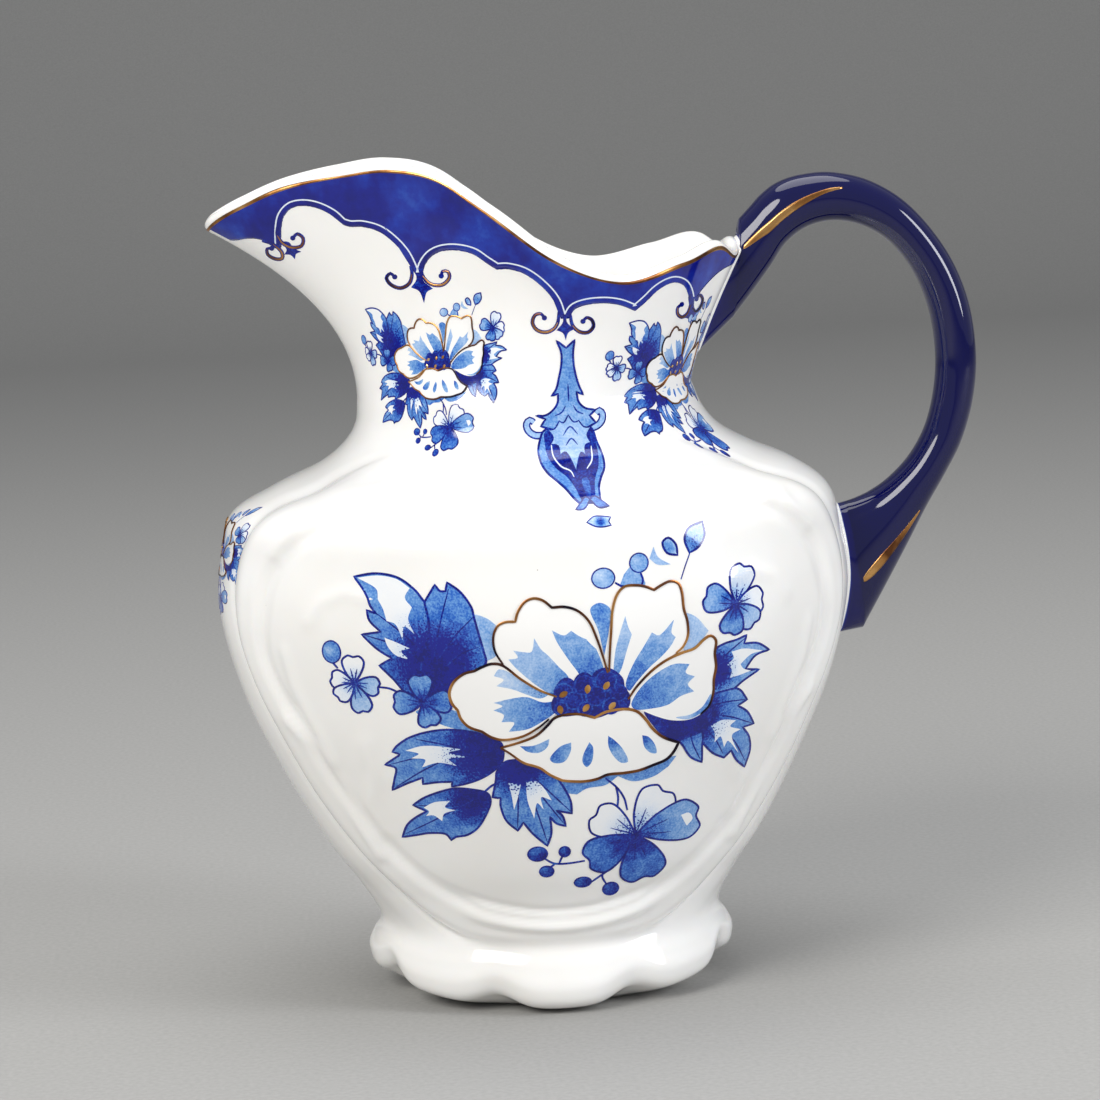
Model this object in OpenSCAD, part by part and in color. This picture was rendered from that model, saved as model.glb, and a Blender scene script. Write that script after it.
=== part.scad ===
// Porcelain cream jug with a pouring spout, a scalloped foot and a looped handle.
// X runs from the spout (-X) to the handle (+X), Y across the jug, Z up.
// The origin is the middle of the foot, on the surface that the jug stands on.

/* [Foot] */
// Outer radius of the flat ring that the jug stands on
foot_ring_r = 25.5; // [24.5:0.5:30]
// Inner radius of that ring, which is the edge of the hollow under the foot
foot_hollow_r = 22; // [18:0.5:23.5]
// Depth of the hollow under the foot
foot_hollow_h = 3; // [1:0.25:4]
// Radius of the flared apron around the foot
apron_r = 37; // [35:0.5:42]
// Height of the widest line of the apron
apron_z = 4.8; // [3:0.2:6]
// How much higher the apron stands at the spout and handle ends
apron_end_rise = 3.2; // [0:0.2:4]
// Number of lobes around the apron
lobes = 8; // [4:1:12]
// Depth of the notch between two lobes
notch_depth = 1.2; // [0:0.1:3]
// How far the lower edge lifts at a notch
notch_lift = 2.1; // [0:0.1:3]
// Half the opening of a notch, in degrees around the foot
notch_half_angle = 8.5; // [4:0.5:10]

/* [Body] */
// Radius of the waist above the foot
waist_r = 34.5; // [28:0.5:36]
// Height of the waist
waist_z = 15; // [13:0.5:18]
// Half length of the belly, towards the spout and the handle
belly_half_l = 63.2; // [50:0.2:76]
// Half depth of the belly, across the jug
belly_half_d = 57.5; // [46:0.5:70]
// Height of the widest line of the belly
belly_z = 78; // [65:1:86]
// Radius of the neck
neck_r = 33.5; // [28:0.5:38]
// Height of the narrowest line of the neck
neck_z = 120; // [110:1:132]
// Thickness of the cast wall
wall = 3; // [2:0.1:4]
// Thickness of the floor inside the foot
floor_t = 4.5; // [3:0.5:6]

/* [Mouth] */
// How far the edge of the spout reaches from the jug's axis
spout_reach = 61; // [45:0.5:72]
// How far the edge of the mouth reaches towards the handle
heel_reach = 44; // [38:0.5:50]
// Half depth of the round part of the mouth
mouth_half_d = 40.5; // [34:0.5:48]
// Half depth of the spout's channel
spout_half_d = 20; // [14:0.5:26]
// Height of the tip of the spout
spout_tip_z = 154.5; // [146:0.5:158]
// Height of the crest of the edge, on the shoulders of the spout
crest_z = 165; // [158:0.5:175]
// Height of the lowest place of the edge, in front and at the back
dip_z = 142; // [136:0.5:150]
// Height of the edge where the handle joins it
heel_z = 146; // [140:0.5:152]

/* [Handle] */
// How far the handle's loop reaches from the jug's axis
loop_reach = 91.5; // [86:0.5:100]
// Height of the top of the handle's loop
loop_top_z = 160; // [156:0.5:170]
// Thickness of the handle in the plane of the loop
grip_t = 8; // [6:0.25:10]
// Width of the handle across the jug
grip_w = 10.6; // [8:0.2:13]
// Thickness of the slip that fixes the handle to the body
slip_t = 0.6; // [0.4:0.1:1]
// How far the slip is squeezed out around the end of the handle
slip_bead = 0.7; // [0.3:0.1:1.5]
// Height of the foot of the handle on the body
handle_foot_z = 67; // [62:1:72]
// Height of the top of the handle's lower end on the body
handle_heel_z = 93; // [88:1:96]

/* [Gilding] */
// Width of the gilt line on the edge of the mouth
rim_line_w = 0.8; // [0.4:0.1:1.5]
// Thickness of the gilding
gilt_t = 0.08; // [0.05:0.01:0.15]
// Width of a gilt brush stroke on the handle
stroke_w = 1.7; // [1:0.1:3]

/* [Hidden] */

around = 72;          // facets around the body
handle_facets = 20;   // facets around the handle
seat_facets = 24;     // facets around each slip joint
fine = 0.02;          // step for slopes and normals
sink = 0.03;          // how deep slip and gilding bed into the glaze
floor_z = foot_hollow_h + floor_t;

// ---- curves ----
// Smooth step from 0 to 1
function ease(t) = let(c = max(0, min(1, t))) c * c * (3 - 2 * c);
// Slope of a smooth curve through points [t, value] at point i
function slope(k, i) =
    i == 0 ? (k[1][1] - k[0][1]) / (k[1][0] - k[0][0]) :
    i == len(k) - 1 ? (k[i][1] - k[i-1][1]) / (k[i][0] - k[i-1][0]) :
    let(a = k[i][0] - k[i-1][0], b = k[i+1][0] - k[i][0])
    ((k[i][1] - k[i-1][1]) / a * b + (k[i+1][1] - k[i][1]) / b * a) / (a + b);
function span(k, t, i = 0) = i >= len(k) - 2 || t < k[i+1][0] ? i : span(k, t, i + 1);
// Value at t of the smooth curve through points [t, value]
function curve(k, t) =
    let(i = span(k, t), h = k[i+1][0] - k[i][0], s = (t - k[i][0]) / h,
        s2 = s * s, s3 = s2 * s)
    (2 * s3 - 3 * s2 + 1) * k[i][1] + (s3 - 2 * s2 + s) * h * slope(k, i)
    + (3 * s2 - 2 * s3) * k[i+1][1] + (s3 - s2) * h * slope(k, i + 1);
function unit(v) = v / norm(v);

// ---- outer surface of the body ----
// Rows of the outer surface, from the resting ring (row 0) to the neck (row 16).
// Each row has its height, its half length, its half depth and its shift towards the handle.
function up_belly(share) = waist_z + (belly_z - waist_z) * share;
function up_neck(share) = belly_z + (neck_z - belly_z) * share;
function swell(r0, share) = r0 + (belly_half_l - r0) * share;
function deepen(r0, share) = r0 + (belly_half_d - r0) * share;
LOW = [[0.12, 0.14], [0.26, 0.355], [0.49, 0.625], [0.74, 0.865]];
HIGH = [[0.31, 0.96, 0], [0.48, 0.885, 0.1], [0.6, 0.63, 1.3], [0.69, 0.345, 1.6],
        [0.78, 0.15, 1.1], [0.88, 0.045, 0.7]];
ROWS = concat(
    [[0, foot_ring_r, foot_ring_r, 0],
     [apron_z * 0.25, apron_r - 2.2, apron_r - 2.2, 0],
     [apron_z, apron_r, apron_r, 0],
     [(apron_z + waist_z) / 2 - 0.5, apron_r - 0.9, apron_r - 1, 0],
     [waist_z, waist_r, waist_r, 0]],
    [for (p = LOW) [up_belly(p[0]), swell(waist_r, p[1]), deepen(waist_r, p[1]), 0]],
    [[belly_z, belly_half_l, belly_half_d, 0]],
    [for (p = HIGH) [up_neck(p[0]), swell(neck_r, p[1]), deepen(neck_r, p[1]), p[2]]],
    [[neck_z, neck_r, neck_r, 0]]);
neck_row = len(ROWS) - 1;
rim_row = neck_row + 1;
waist_row = 4;
function row_curve(column) = [for (i = [0:neck_row]) [i, ROWS[i][column]]];
Z_ROWS = row_curve(0);
L_ROWS = row_curve(1);
D_ROWS = row_curve(2);
SHIFT_ROWS = row_curve(3);

// Height of the edge of the mouth at angle a from the handle
EDGE = [[-17, heel_z - 1.5], [0, heel_z], [17, heel_z - 1.5], [25, heel_z + 0.4],
        [42, dip_z + 2.3], [61, dip_z], [76, dip_z + 5], [90, crest_z - 8],
        [99, crest_z - 2], [108, crest_z], [120, crest_z - 0.6], [134, crest_z - 2.4],
        [150, spout_tip_z + 4.6], [168, spout_tip_z + 1.3], [180, spout_tip_z],
        [192, spout_tip_z + 1.3]];
function edge_z(a) = curve(EDGE, abs((a + 540) % 360 - 180));

// 1 in the middle of a notch of the apron, 0 on a lobe
function notch(a) =
    let(pitch = 360 / lobes, off = abs((a + 720) % pitch - pitch / 2))
    exp(-pow(off / notch_half_angle, 2));
// How strongly the notches show at each row
NOTCHED = [[0, 0], [1, 1], [2, 0.9], [3, 0.45], [4, 0.1], [5, 0], [6, 0]];

function lower_point(a, s) =
    let(n = s < 5 ? notch(a) * curve(NOTCHED, s) : 0,
        rise = s < waist_row ? ease(s) * (1 - ease((s - 2) / 2)) : 0,
        l = curve(L_ROWS, s) - notch_depth * n,
        d = curve(D_ROWS, s) - notch_depth * n)
    [l * cos(a) + curve(SHIFT_ROWS, s), d * sin(a),
     curve(Z_ROWS, s) + rise * (apron_end_rise * pow(cos(a), 2) + notch_lift * notch(a))];
function upper_point(a, t) =
    let(spout = neck_r + (spout_reach - neck_r) * pow(t, 2.15),
        heel = neck_r + (heel_reach - neck_r) * pow(t, 1.3),
        round_d = neck_r + (mouth_half_d - neck_r) * pow(t, 1.6),
        channel_d = neck_r + (spout_half_d - neck_r) * pow(t, 0.9),
        d = channel_d + (round_d - channel_d) * ease((cos(a) + 0.75) / 1.3))
    [(heel - spout) / 2 + (heel + spout) / 2 * cos(a), d * sin(a),
     neck_z + (edge_z(a) - neck_z) * t];
// Point of the outer surface at angle a from the handle and row s
function outer(a, s) = s <= neck_row ? lower_point(a, s) : upper_point(a, s - neck_row);
function along(a, s) =
    let(lo = min(s, rim_row - fine)) unit(outer(a, lo + fine) - outer(a, lo));
function out_normal(a, s) =
    unit(cross(outer(a + 1, min(s, rim_row)) - outer(a - 1, min(s, rim_row)), along(a, s)));
// Skin of the whole wall: past the rim row it rolls over the rounded lip
function skin(a, s) =
    s <= rim_row ? outer(a, s) :
    let(n = out_normal(a, rim_row), t = along(a, rim_row), f = 180 * (s - rim_row))
    outer(a, rim_row) - n * wall / 2 + (n * cos(f) + t * sin(f)) * wall / 2;
function skin_normal(a, s) =
    s <= rim_row ? out_normal(a, s) :
    let(f = 180 * (s - rim_row))
    out_normal(a, rim_row) * cos(f) + along(a, rim_row) * sin(f);
function inner(a, s) = outer(a, s) - out_normal(a, s) * wall;

// ---- closed meshes from rings ----
// Rings of equal length, closed at both ends by a fan from one point each
module loft(rings, first, last) {
    n = len(rings[0]);
    m = len(rings);
    points = concat([first], [for (r = rings) each r], [last]);
    function at(i, j) = 1 + i * n + j % n;
    polyhedron(points, concat(
        [for (j = [0:n-1]) [0, at(0, j), at(0, j + 1)]],
        [for (i = [0:m-2], j = [0:n-1]) each
            [[at(i, j), at(i + 1, j), at(i + 1, j + 1)],
             [at(i, j), at(i + 1, j + 1), at(i, j + 1)]]],
        [for (j = [0:n-1]) [len(points) - 1, at(m - 1, j + 1), at(m - 1, j)]]), 4);
}
// A ring of cross sections that meets itself
module ring_loft(sections) {
    m = len(sections);
    n = len(sections[0]);
    function at(i, j) = (i % m) * n + j % n;
    polyhedron([for (r = sections) each r],
        [for (i = [0:m-1], j = [0:n-1]) each
            [[at(i, j), at(i, j + 1), at(i + 1, j + 1)],
             [at(i, j), at(i + 1, j + 1), at(i + 1, j)]]], 4);
}
function middle(ring) = [for (k = [0:2]) let(v = [for (p = ring) p[k]]) (min(v) + max(v)) / 2];

// ---- body ----
OUTER_ROWS = concat([for (s = [0:1:waist_row]) s], [for (s = [waist_row+0.5:0.5:neck_row]) s],
                    [for (t = [0.125:0.125:1]) neck_row + t]);
LIP_STEPS = [0.25, 0.5, 0.75];
INNER_ROWS = concat([for (t = [1:-0.2:0.1]) neck_row + t],
                    [for (s = [neck_row:-0.75:waist_row]) s]);
function body_ring(s) = [for (j = [0:around-1]) outer(j * 360 / around, s)];
function bowl_ring(r, z) =
    [for (j = [0:around-1]) [r * cos(j * 360 / around), r * sin(j * 360 / around), z]];

module jug_body() {
    color("white") difference() {
        loft(concat(
                [for (s = OUTER_ROWS) body_ring(s)],
                [for (f = LIP_STEPS) [for (j = [0:around-1]) skin(j * 360 / around, rim_row + f)]],
                [for (s = INNER_ROWS) [for (j = [0:around-1]) inner(j * 360 / around, s)]],
                [bowl_ring(waist_r - wall - 2, floor_z + 2.4), bowl_ring(waist_r - wall - 6, floor_z + 0.4)]),
            [0, 0, 0], [0, 0, floor_z]);
        translate([0, 0, -1]) cylinder(r = foot_hollow_r, h = foot_hollow_h + 1, $fn = 96);
    }
}

// ---- handle ----
// The body row at a height, on the handle's side
function row_at(z, lo = 5, hi = rim_row) =
    hi - lo < 0.001 ? lo :
    let(m = (lo + hi) / 2) outer(0, m)[2] < z ? row_at(z, m, hi) : row_at(z, lo, m);
// Each end of the handle sits on an oval seat on the skin: the row of the handle's outer edge,
// the row of its inner edge and half the seat's angle
top_seat = [rim_row + 0.42, row_at(neck_z + 6), asin(grip_w / 2 / heel_reach)];
base_seat = [row_at(handle_foot_z), row_at(handle_heel_z), asin(grip_w * 0.58 / belly_half_d)];
// Point on a seat: f runs round it from the outer edge, grow widens it, lift raises it
function seat_point(seat, f, grow, lift) =
    let(half = (seat[0] - seat[1]) / 2, mid = (seat[0] + seat[1]) / 2,
        g = 1 + grow / (grip_w * 0.5),
        a = -seat[2] * g * sin(f), s = mid + half * (1 + (g - 1) * 0.35) * cos(f))
    skin(a, s) + skin_normal(a, s) * lift;
function seat_ring(seat, n, grow, lift) =
    [for (j = [0:n-1]) seat_point(seat, j * 360 / n, grow, lift)];
function seat_middle(seat, lift) = seat_point([seat[0], seat[1], 0], 90, 0, lift);

// Stations of the loop: inner edge, outer edge and width share.
// The loop is drawn on its own size and moved with the reach and the top.
dx = loop_reach - 91.5;
dz = loop_top_z - 160;
dt = (grip_t - 8) / 2;
function station(xi, zi, xo, zo, w) =
    let(i = [xi, zi], o = [xo, zo], n = unit(o - i) * dt,
        far = ease((min(xi, xo) - 44) / 30), high = ease((zi - 95) / 50))
    [i[0] - n[0] + dx * far, i[1] - n[1] + dz * high,
     o[0] + n[0] + dx * far, o[1] + n[1] + dz * high, w];
LOOP = [
    station(42.4, 131.8, 44.7, 151.6, 0.93),
    station(46.6, 136.8, 46.9, 153.8, 0.95),
    station(50.4, 141.6, 49.3, 156.2, 0.97),
    station(53.8, 146.2, 52.6, 158.4, 0.99),
    station(58.2, 149.2, 57.2, 159.7, 1),
    station(63.6, 150.2, 63.8, 159.9, 1),
    station(69.4, 148.9, 71.6, 157.7, 1),
    station(75.0, 145.2, 79.2, 152.4, 1),
    station(79.6, 138.8, 86.2, 143.2, 1),
    station(82.4, 131.0, 90.2, 133.2, 1),
    station(83.4, 122.6, 91.5, 122.4, 1),
    station(82.8, 115.2, 90.6, 113.2, 1),
    station(80.8, 108.0, 88.0, 104.8, 1),
    station(77.4, 102.2, 84.4, 98.2, 1.01),
    station(73.2, 98.0, 80.3, 91.6, 1.03),
    station(69.2, 95.4, 76.2, 84.3, 1.06),
    station(65.8, 94.0, 71.4, 76.0, 1.1),
    station(63.6, 93.4, 66.4, 67.6, 1.13)];
function loop_curve(column) = [for (i = [0:len(LOOP)-1]) [i, LOOP[i][column]]];
LOOP_CURVES = [for (c = [0:4]) loop_curve(c)];
loop_last = len(LOOP) - 1;
squareness = 0.9;
function bend(v) = sign(v) * pow(abs(v), squareness);
// Point of the handle's skin at station u; f is 0 on the outer edge and 90 on the -Y flank
function grip_point(u, f, lift = 0) =
    let(i = [curve(LOOP_CURVES[0], u), curve(LOOP_CURVES[1], u)],
        o = [curve(LOOP_CURVES[2], u), curve(LOOP_CURVES[3], u)],
        c = (i + o) / 2, half = norm(o - i) / 2 + lift, n = unit(o - i),
        w = grip_w / 2 * curve(LOOP_CURVES[4], u) + lift,
        p = c + n * half * bend(cos(f)))
    [p[0], -w * bend(sin(f)), p[1]];
function grip_ring(u) = [for (j = [0:handle_facets-1]) grip_point(u, j * 360 / handle_facets)];

module handle() {
    color("midnightblue")
        loft(concat([seat_ring(top_seat, handle_facets, 0, slip_t)],
                    [for (u = [0:0.5:loop_last]) grip_ring(u)],
                    [seat_ring(base_seat, handle_facets, 0, slip_t)]),
             seat_middle(top_seat, slip_t), seat_middle(base_seat, slip_t));
}

// ---- slip that fixes the handle ----
module slip_joint(seat) {
    color("whitesmoke")
        loft([seat_ring(seat, seat_facets, slip_bead, -sink),
              seat_ring(seat, seat_facets, slip_bead * 0.9, slip_t * 0.5),
              seat_ring(seat, seat_facets, 0, slip_t)],
             seat_middle(seat, -sink), seat_middle(seat, slip_t));
}
module handle_top_slip_joint() slip_joint(top_seat);
module handle_base_slip_joint() slip_joint(base_seat);

// ---- gilding ----
module rim_gilding() {
    rows = [rim_row, rim_row + rim_line_w / (PI * wall / 2)];
    color("goldenrod")
        ring_loft([for (j = [0:around-1]) let(a = j * 360 / around)
            [for (q = [[0, -sink], [1, -sink], [1, gilt_t], [0, gilt_t]])
                skin(a, rows[q[0]]) + skin_normal(a, rows[q[0]]) * q[1]]]);
}

// A brush stroke: stations [u, angle] along it, widest in the middle
STROKES = [
    [[0.3, 72], [1.2, 78], [2.2, 86], [3.2, 90], [4.2, 84], [5.2, 68]],
    [[14.2, 48], [14.9, 56], [15.6, 64], [16.2, 70], [16.8, 76]]];
stroke_steps = 12;
module stroke(path, side) {
    k = len(path) - 1;
    us = [for (i = [0:k]) [i / k, path[i][0]]];
    fs = [for (i = [0:k]) [i / k, path[i][1]]];
    function section(t) =
        let(u = curve(us, t), f = curve(fs, t),
            half = stroke_w / 2 * sqrt(max(0.02, sin(180 * (0.04 + 0.92 * t)))),
            da = half / (grip_w / 2) * 180 / PI)
        [for (q = [[-1, -sink], [1, -sink], [1, gilt_t], [-1, gilt_t]])
            let(p = grip_point(u, f + q[0] * da, q[1])) [p[0], side * p[1], p[2]]];
    rings = [for (i = [0:stroke_steps]) section(i / stroke_steps)];
    if (side > 0) loft(rings, middle(rings[0]), middle(rings[stroke_steps]));
    else mirror([0, 1, 0]) stroke(path, 1);
}
module handle_gilding() {
    color("goldenrod") for (path = STROKES) {
        stroke(path, 1);
        stroke(path, -1);
    }
}

jug_body();
handle();
handle_top_slip_joint();
handle_base_slip_joint();
rim_gilding();
handle_gilding();
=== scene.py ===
# %% [markdown]
# # A porcelain cream jug with cobalt and gold
# The jug is one cast shell of glazed porcelain with a handle stuck on with slip. Everything else
# that catches the eye is a film: printed flowers, a cobalt border and fired gold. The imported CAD
# model gives the frame, so it is loaded first, and every piece below is worked out in its
# millimetres and turned to metres only when a mesh is made.

# %% Load the frame
import math
import bmesh
import bpy
import numpy as np
from mathutils import Matrix, Vector
from mathutils.bvhtree import BVHTree
from mathutils.geometry import delaunay_2d_cdt


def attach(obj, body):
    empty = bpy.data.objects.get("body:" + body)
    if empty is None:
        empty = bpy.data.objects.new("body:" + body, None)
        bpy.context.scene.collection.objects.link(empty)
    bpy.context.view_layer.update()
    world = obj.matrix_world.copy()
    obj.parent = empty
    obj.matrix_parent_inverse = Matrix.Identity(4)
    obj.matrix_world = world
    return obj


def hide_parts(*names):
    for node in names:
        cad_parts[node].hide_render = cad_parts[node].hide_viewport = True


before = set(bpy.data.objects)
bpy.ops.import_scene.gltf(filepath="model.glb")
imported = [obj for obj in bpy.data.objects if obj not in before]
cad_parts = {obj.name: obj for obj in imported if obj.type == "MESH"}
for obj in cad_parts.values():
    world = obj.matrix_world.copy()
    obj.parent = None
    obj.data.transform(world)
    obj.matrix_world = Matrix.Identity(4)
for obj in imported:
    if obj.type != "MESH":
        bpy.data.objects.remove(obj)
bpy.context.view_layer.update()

MM = 0.001               # one millimetre in metres

# %% [markdown]
# ## Curves that the whole jug is drawn with
# A potter's profile is a handful of heights and radii joined by a fair line. `curve` does the
# same: a smooth line through a few knots, with the slope at each knot taken from its neighbours,
# so the line doesn't overshoot the way a plain spline can.

# %% Smooth curves
def ease(t):
    t = np.clip(t, 0, 1)
    return t * t * (3 - 2 * t)


def curve(knots, t):
    """Value at t of the smooth line through knots (t, value)."""
    k = np.array(knots, float)
    x, v = k[:, 0], k[:, 1]
    h = np.diff(x)
    rise = np.diff(v) / h
    inner = (rise[:-1] * h[1:] + rise[1:] * h[:-1]) / (h[1:] + h[:-1])
    m = np.concatenate([rise[:1], inner, rise[-1:]])
    i = np.clip(np.searchsorted(x, t, side="right") - 1, 0, len(x) - 2)
    s = (t - x[i]) / h[i]
    return ((2 * s**3 - 3 * s**2 + 1) * v[i] + (s**3 - 2 * s**2 + s) * h[i] * m[i]
            + (3 * s**2 - 2 * s**3) * v[i + 1] + (s**3 - s**2) * h[i] * m[i + 1])


def unit(v):
    return v / np.maximum(np.linalg.norm(v, axis=-1, keepdims=True), 1e-12)

# %% [markdown]
# ## The shape of the wall
# The body is a shell in slices. Rows 0 to 16 run from the foot ring to the neck, each with a
# height, a half length, a half depth and a small shift towards the handle; above the neck the
# slices open into the leaf-shaped mouth. These are the same sizes as the CAD model's, so the
# fine mesh made here lies where the CAD body lies.

# %% Rows of the body
RING_R, APRON_R, APRON_Z = 25.5, 37.0, 4.8
HOLLOW_R, HOLLOW_H, FLOOR_Z = 22.0, 3.0, 7.5
WAIST_Z, WAIST_R = 15.0, 34.5
BELLY_Z, BELLY_L, BELLY_D = 78.0, 63.2, 57.5
NECK_Z, NECK_R = 120.0, 33.5
WALL = 3.0
WAIST_ROW, NECK_ROW, RIM_ROW = 4, 16, 17
LOBE_PITCH, NOTCH_HALF, NOTCH_DEPTH, NOTCH_LIFT, END_RISE = 45.0, 8.5, 1.2, 2.1, 3.2
NOTCHED = [(0, 0), (1, 1), (2, 0.9), (3, 0.45), (4, 0.1), (5, 0), (6, 0)]
LOW = [(0.12, 0.14), (0.26, 0.355), (0.49, 0.625), (0.74, 0.865)]
HIGH = [(0.31, 0.96, 0), (0.48, 0.885, 0.1), (0.6, 0.63, 1.3), (0.69, 0.345, 1.6),
        (0.78, 0.15, 1.1), (0.88, 0.045, 0.7)]
ROWS = [(0, RING_R, RING_R, 0), (APRON_Z * 0.25, APRON_R - 2.2, APRON_R - 2.2, 0),
        (APRON_Z, APRON_R, APRON_R, 0),
        ((APRON_Z + WAIST_Z) / 2 - 0.5, APRON_R - 0.9, APRON_R - 1, 0),
        (WAIST_Z, WAIST_R, WAIST_R, 0)]
for share, swell in LOW:
    ROWS.append((WAIST_Z + (BELLY_Z - WAIST_Z) * share, WAIST_R + (BELLY_L - WAIST_R) * swell,
                 WAIST_R + (BELLY_D - WAIST_R) * swell, 0))
ROWS.append((BELLY_Z, BELLY_L, BELLY_D, 0))
for share, swell, shift in HIGH:
    ROWS.append((BELLY_Z + (NECK_Z - BELLY_Z) * share, NECK_R + (BELLY_L - NECK_R) * swell,
                 NECK_R + (BELLY_D - NECK_R) * swell, shift))
ROWS.append((NECK_Z, NECK_R, NECK_R, 0))

# %% The edge of the mouth
SPOUT_REACH, HEEL_REACH, MOUTH_D, SPOUT_D = 61.0, 44.0, 40.5, 20.0
TIP_Z, CREST_Z, DIP_Z, HEEL_Z = 154.5, 165.0, 142.0, 146.0
SPOUT_FLARE, HEEL_FLARE, MOUTH_FLARE, CHANNEL_FLARE = 2.15, 1.3, 1.6, 0.9   # over 1 opens late
EDGE = [(-17, HEEL_Z - 1.5), (0, HEEL_Z), (17, HEEL_Z - 1.5), (25, HEEL_Z + 0.4),
        (42, DIP_Z + 2.3), (61, DIP_Z), (76, DIP_Z + 5), (90, CREST_Z - 8), (99, CREST_Z - 2),
        (108, CREST_Z), (120, CREST_Z - 0.6), (134, CREST_Z - 2.4), (150, TIP_Z + 4.6),
        (168, TIP_Z + 1.3), (180, TIP_Z), (192, TIP_Z + 1.3)]


def edge_z(a):
    """Height of the edge at angle a in degrees, 0 at the handle and 180 at the spout."""
    return curve(EDGE, np.abs((a + 540) % 360 - 180))


def row(column, s):
    return curve([(i, r[column]) for i, r in enumerate(ROWS)], s)


def wall_point(a, s):
    """Points of the outer surface, in mm, at angles a and rows s."""
    a, s = np.broadcast_arrays(np.asarray(a, float), np.asarray(s, float))
    ca, sa = np.cos(np.radians(a)), np.sin(np.radians(a))
    low = np.minimum(s, NECK_ROW)
    off = np.abs((a + 720) % LOBE_PITCH - LOBE_PITCH / 2)
    notch = np.exp(-(off / NOTCH_HALF) ** 2)
    cut = NOTCH_DEPTH * notch * np.where(low < 5, curve(NOTCHED, low), 0)
    rise = np.where(low < WAIST_ROW, ease(low) * (1 - ease((low - 2) / 2)), 0)
    below = np.stack([(row(1, low) - cut) * ca + row(3, low), (row(2, low) - cut) * sa,
                      row(0, low) + rise * (END_RISE * ca**2 + NOTCH_LIFT * notch)], -1)
    t = np.clip(s - NECK_ROW, 0, 1)
    spout = NECK_R + (SPOUT_REACH - NECK_R) * t**SPOUT_FLARE
    heel = NECK_R + (HEEL_REACH - NECK_R) * t**HEEL_FLARE
    round_d = NECK_R + (MOUTH_D - NECK_R) * t**MOUTH_FLARE
    channel_d = NECK_R + (SPOUT_D - NECK_R) * t**CHANNEL_FLARE
    d = channel_d + (round_d - channel_d) * ease((ca + 0.75) / 1.3)
    above = np.stack([(heel - spout) / 2 + (heel + spout) / 2 * ca, d * sa,
                      NECK_Z + (edge_z(a) - NECK_Z) * t], -1)
    return np.where((s <= NECK_ROW)[..., None], below, above)


def wall_frame(a, s):
    """Point, outward normal and upward tangent of the outer surface."""
    a, s = np.broadcast_arrays(np.asarray(a, float), np.asarray(s, float))
    lo = np.minimum(s, RIM_ROW - 0.02)
    up = unit(wall_point(a, lo + 0.02) - wall_point(a, lo))
    turn = wall_point(a + 0.5, s) - wall_point(a - 0.5, s)
    return wall_point(a, s), unit(np.cross(turn, up)), up


print("the belly is", 2 * BELLY_L, "by", 2 * BELLY_D, "mm, the edge rises to", CREST_Z, "mm")

# %% [markdown]
# ## Moulded relief
# The mould that the jug was cast in had a soft frame round each broad side and a ledge under it.
# Relief like this is a height added along the normal. Each broad side is seen flat, in mm across
# and mm up, and the frame lies between two outlines given by their distance from its middle.

# %% Relief of the mould
FRAME_MIDDLE_Z = 60.0
FRAME_OUTER = [(-90, 47.5), (-66, 48.4), (-43, 46.8), (-19, 48.7), (-4, 52.4), (8, 57.8),
               (17, 62.4), (25, 65.6), (34, 67), (47, 61), (60, 58), (90, 56)]
FRAME_INNER = [(-90, 40), (-75, 40.3), (-57, 41), (-39, 41.2), (-25, 42), (-13, 44.2), (-2, 47.4),
               (6, 52), (14, 56.4), (22, 59), (30, 60.4), (37, 59.4), (47, 55), (60, 52), (90, 50)]
FRAME_PROFILE = [(-0.35, 0), (-0.12, -0.3), (0.04, -0.25), (0.16, 0.5), (0.45, 0.95), (0.8, 0.9),
                 (0.95, 0.3), (1.05, -0.5), (1.25, -0.25), (1.6, 0.05), (1.9, 0)]
# scrolled ridges: points across and up, height, half width
RIDGES = [([(51, 75), (49.5, 68), (46, 60), (42.5, 52.5)], 0.4, 1.0),
          ([(50.5, 61), (45, 55), (41, 48), (37.5, 40), (34, 33)], 0.55, 1.1),
          ([(46, 81), (43.5, 85), (39, 87), (34.5, 86)], 0.4, 1.3),
          ([(36.5, 57), (35, 50), (36, 44), (34, 38)], 0.35, 1.6),
          ([(25, 106.5), (36, 103.6), (46, 99.4), (51, 93)], 0.45, 1.2)]
FRAME_FADE = (42, 26, 12, 5)       # fades from 42 degrees over 26, and from 12 mm up over 5 mm
LEDGE_HALF, LEDGE_H, LEDGE_BEND = 19.0, 0.8, 0.01
LEDGE_LOW_Z, LEDGE_HIGH_Z = 17.4, 20.4


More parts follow.
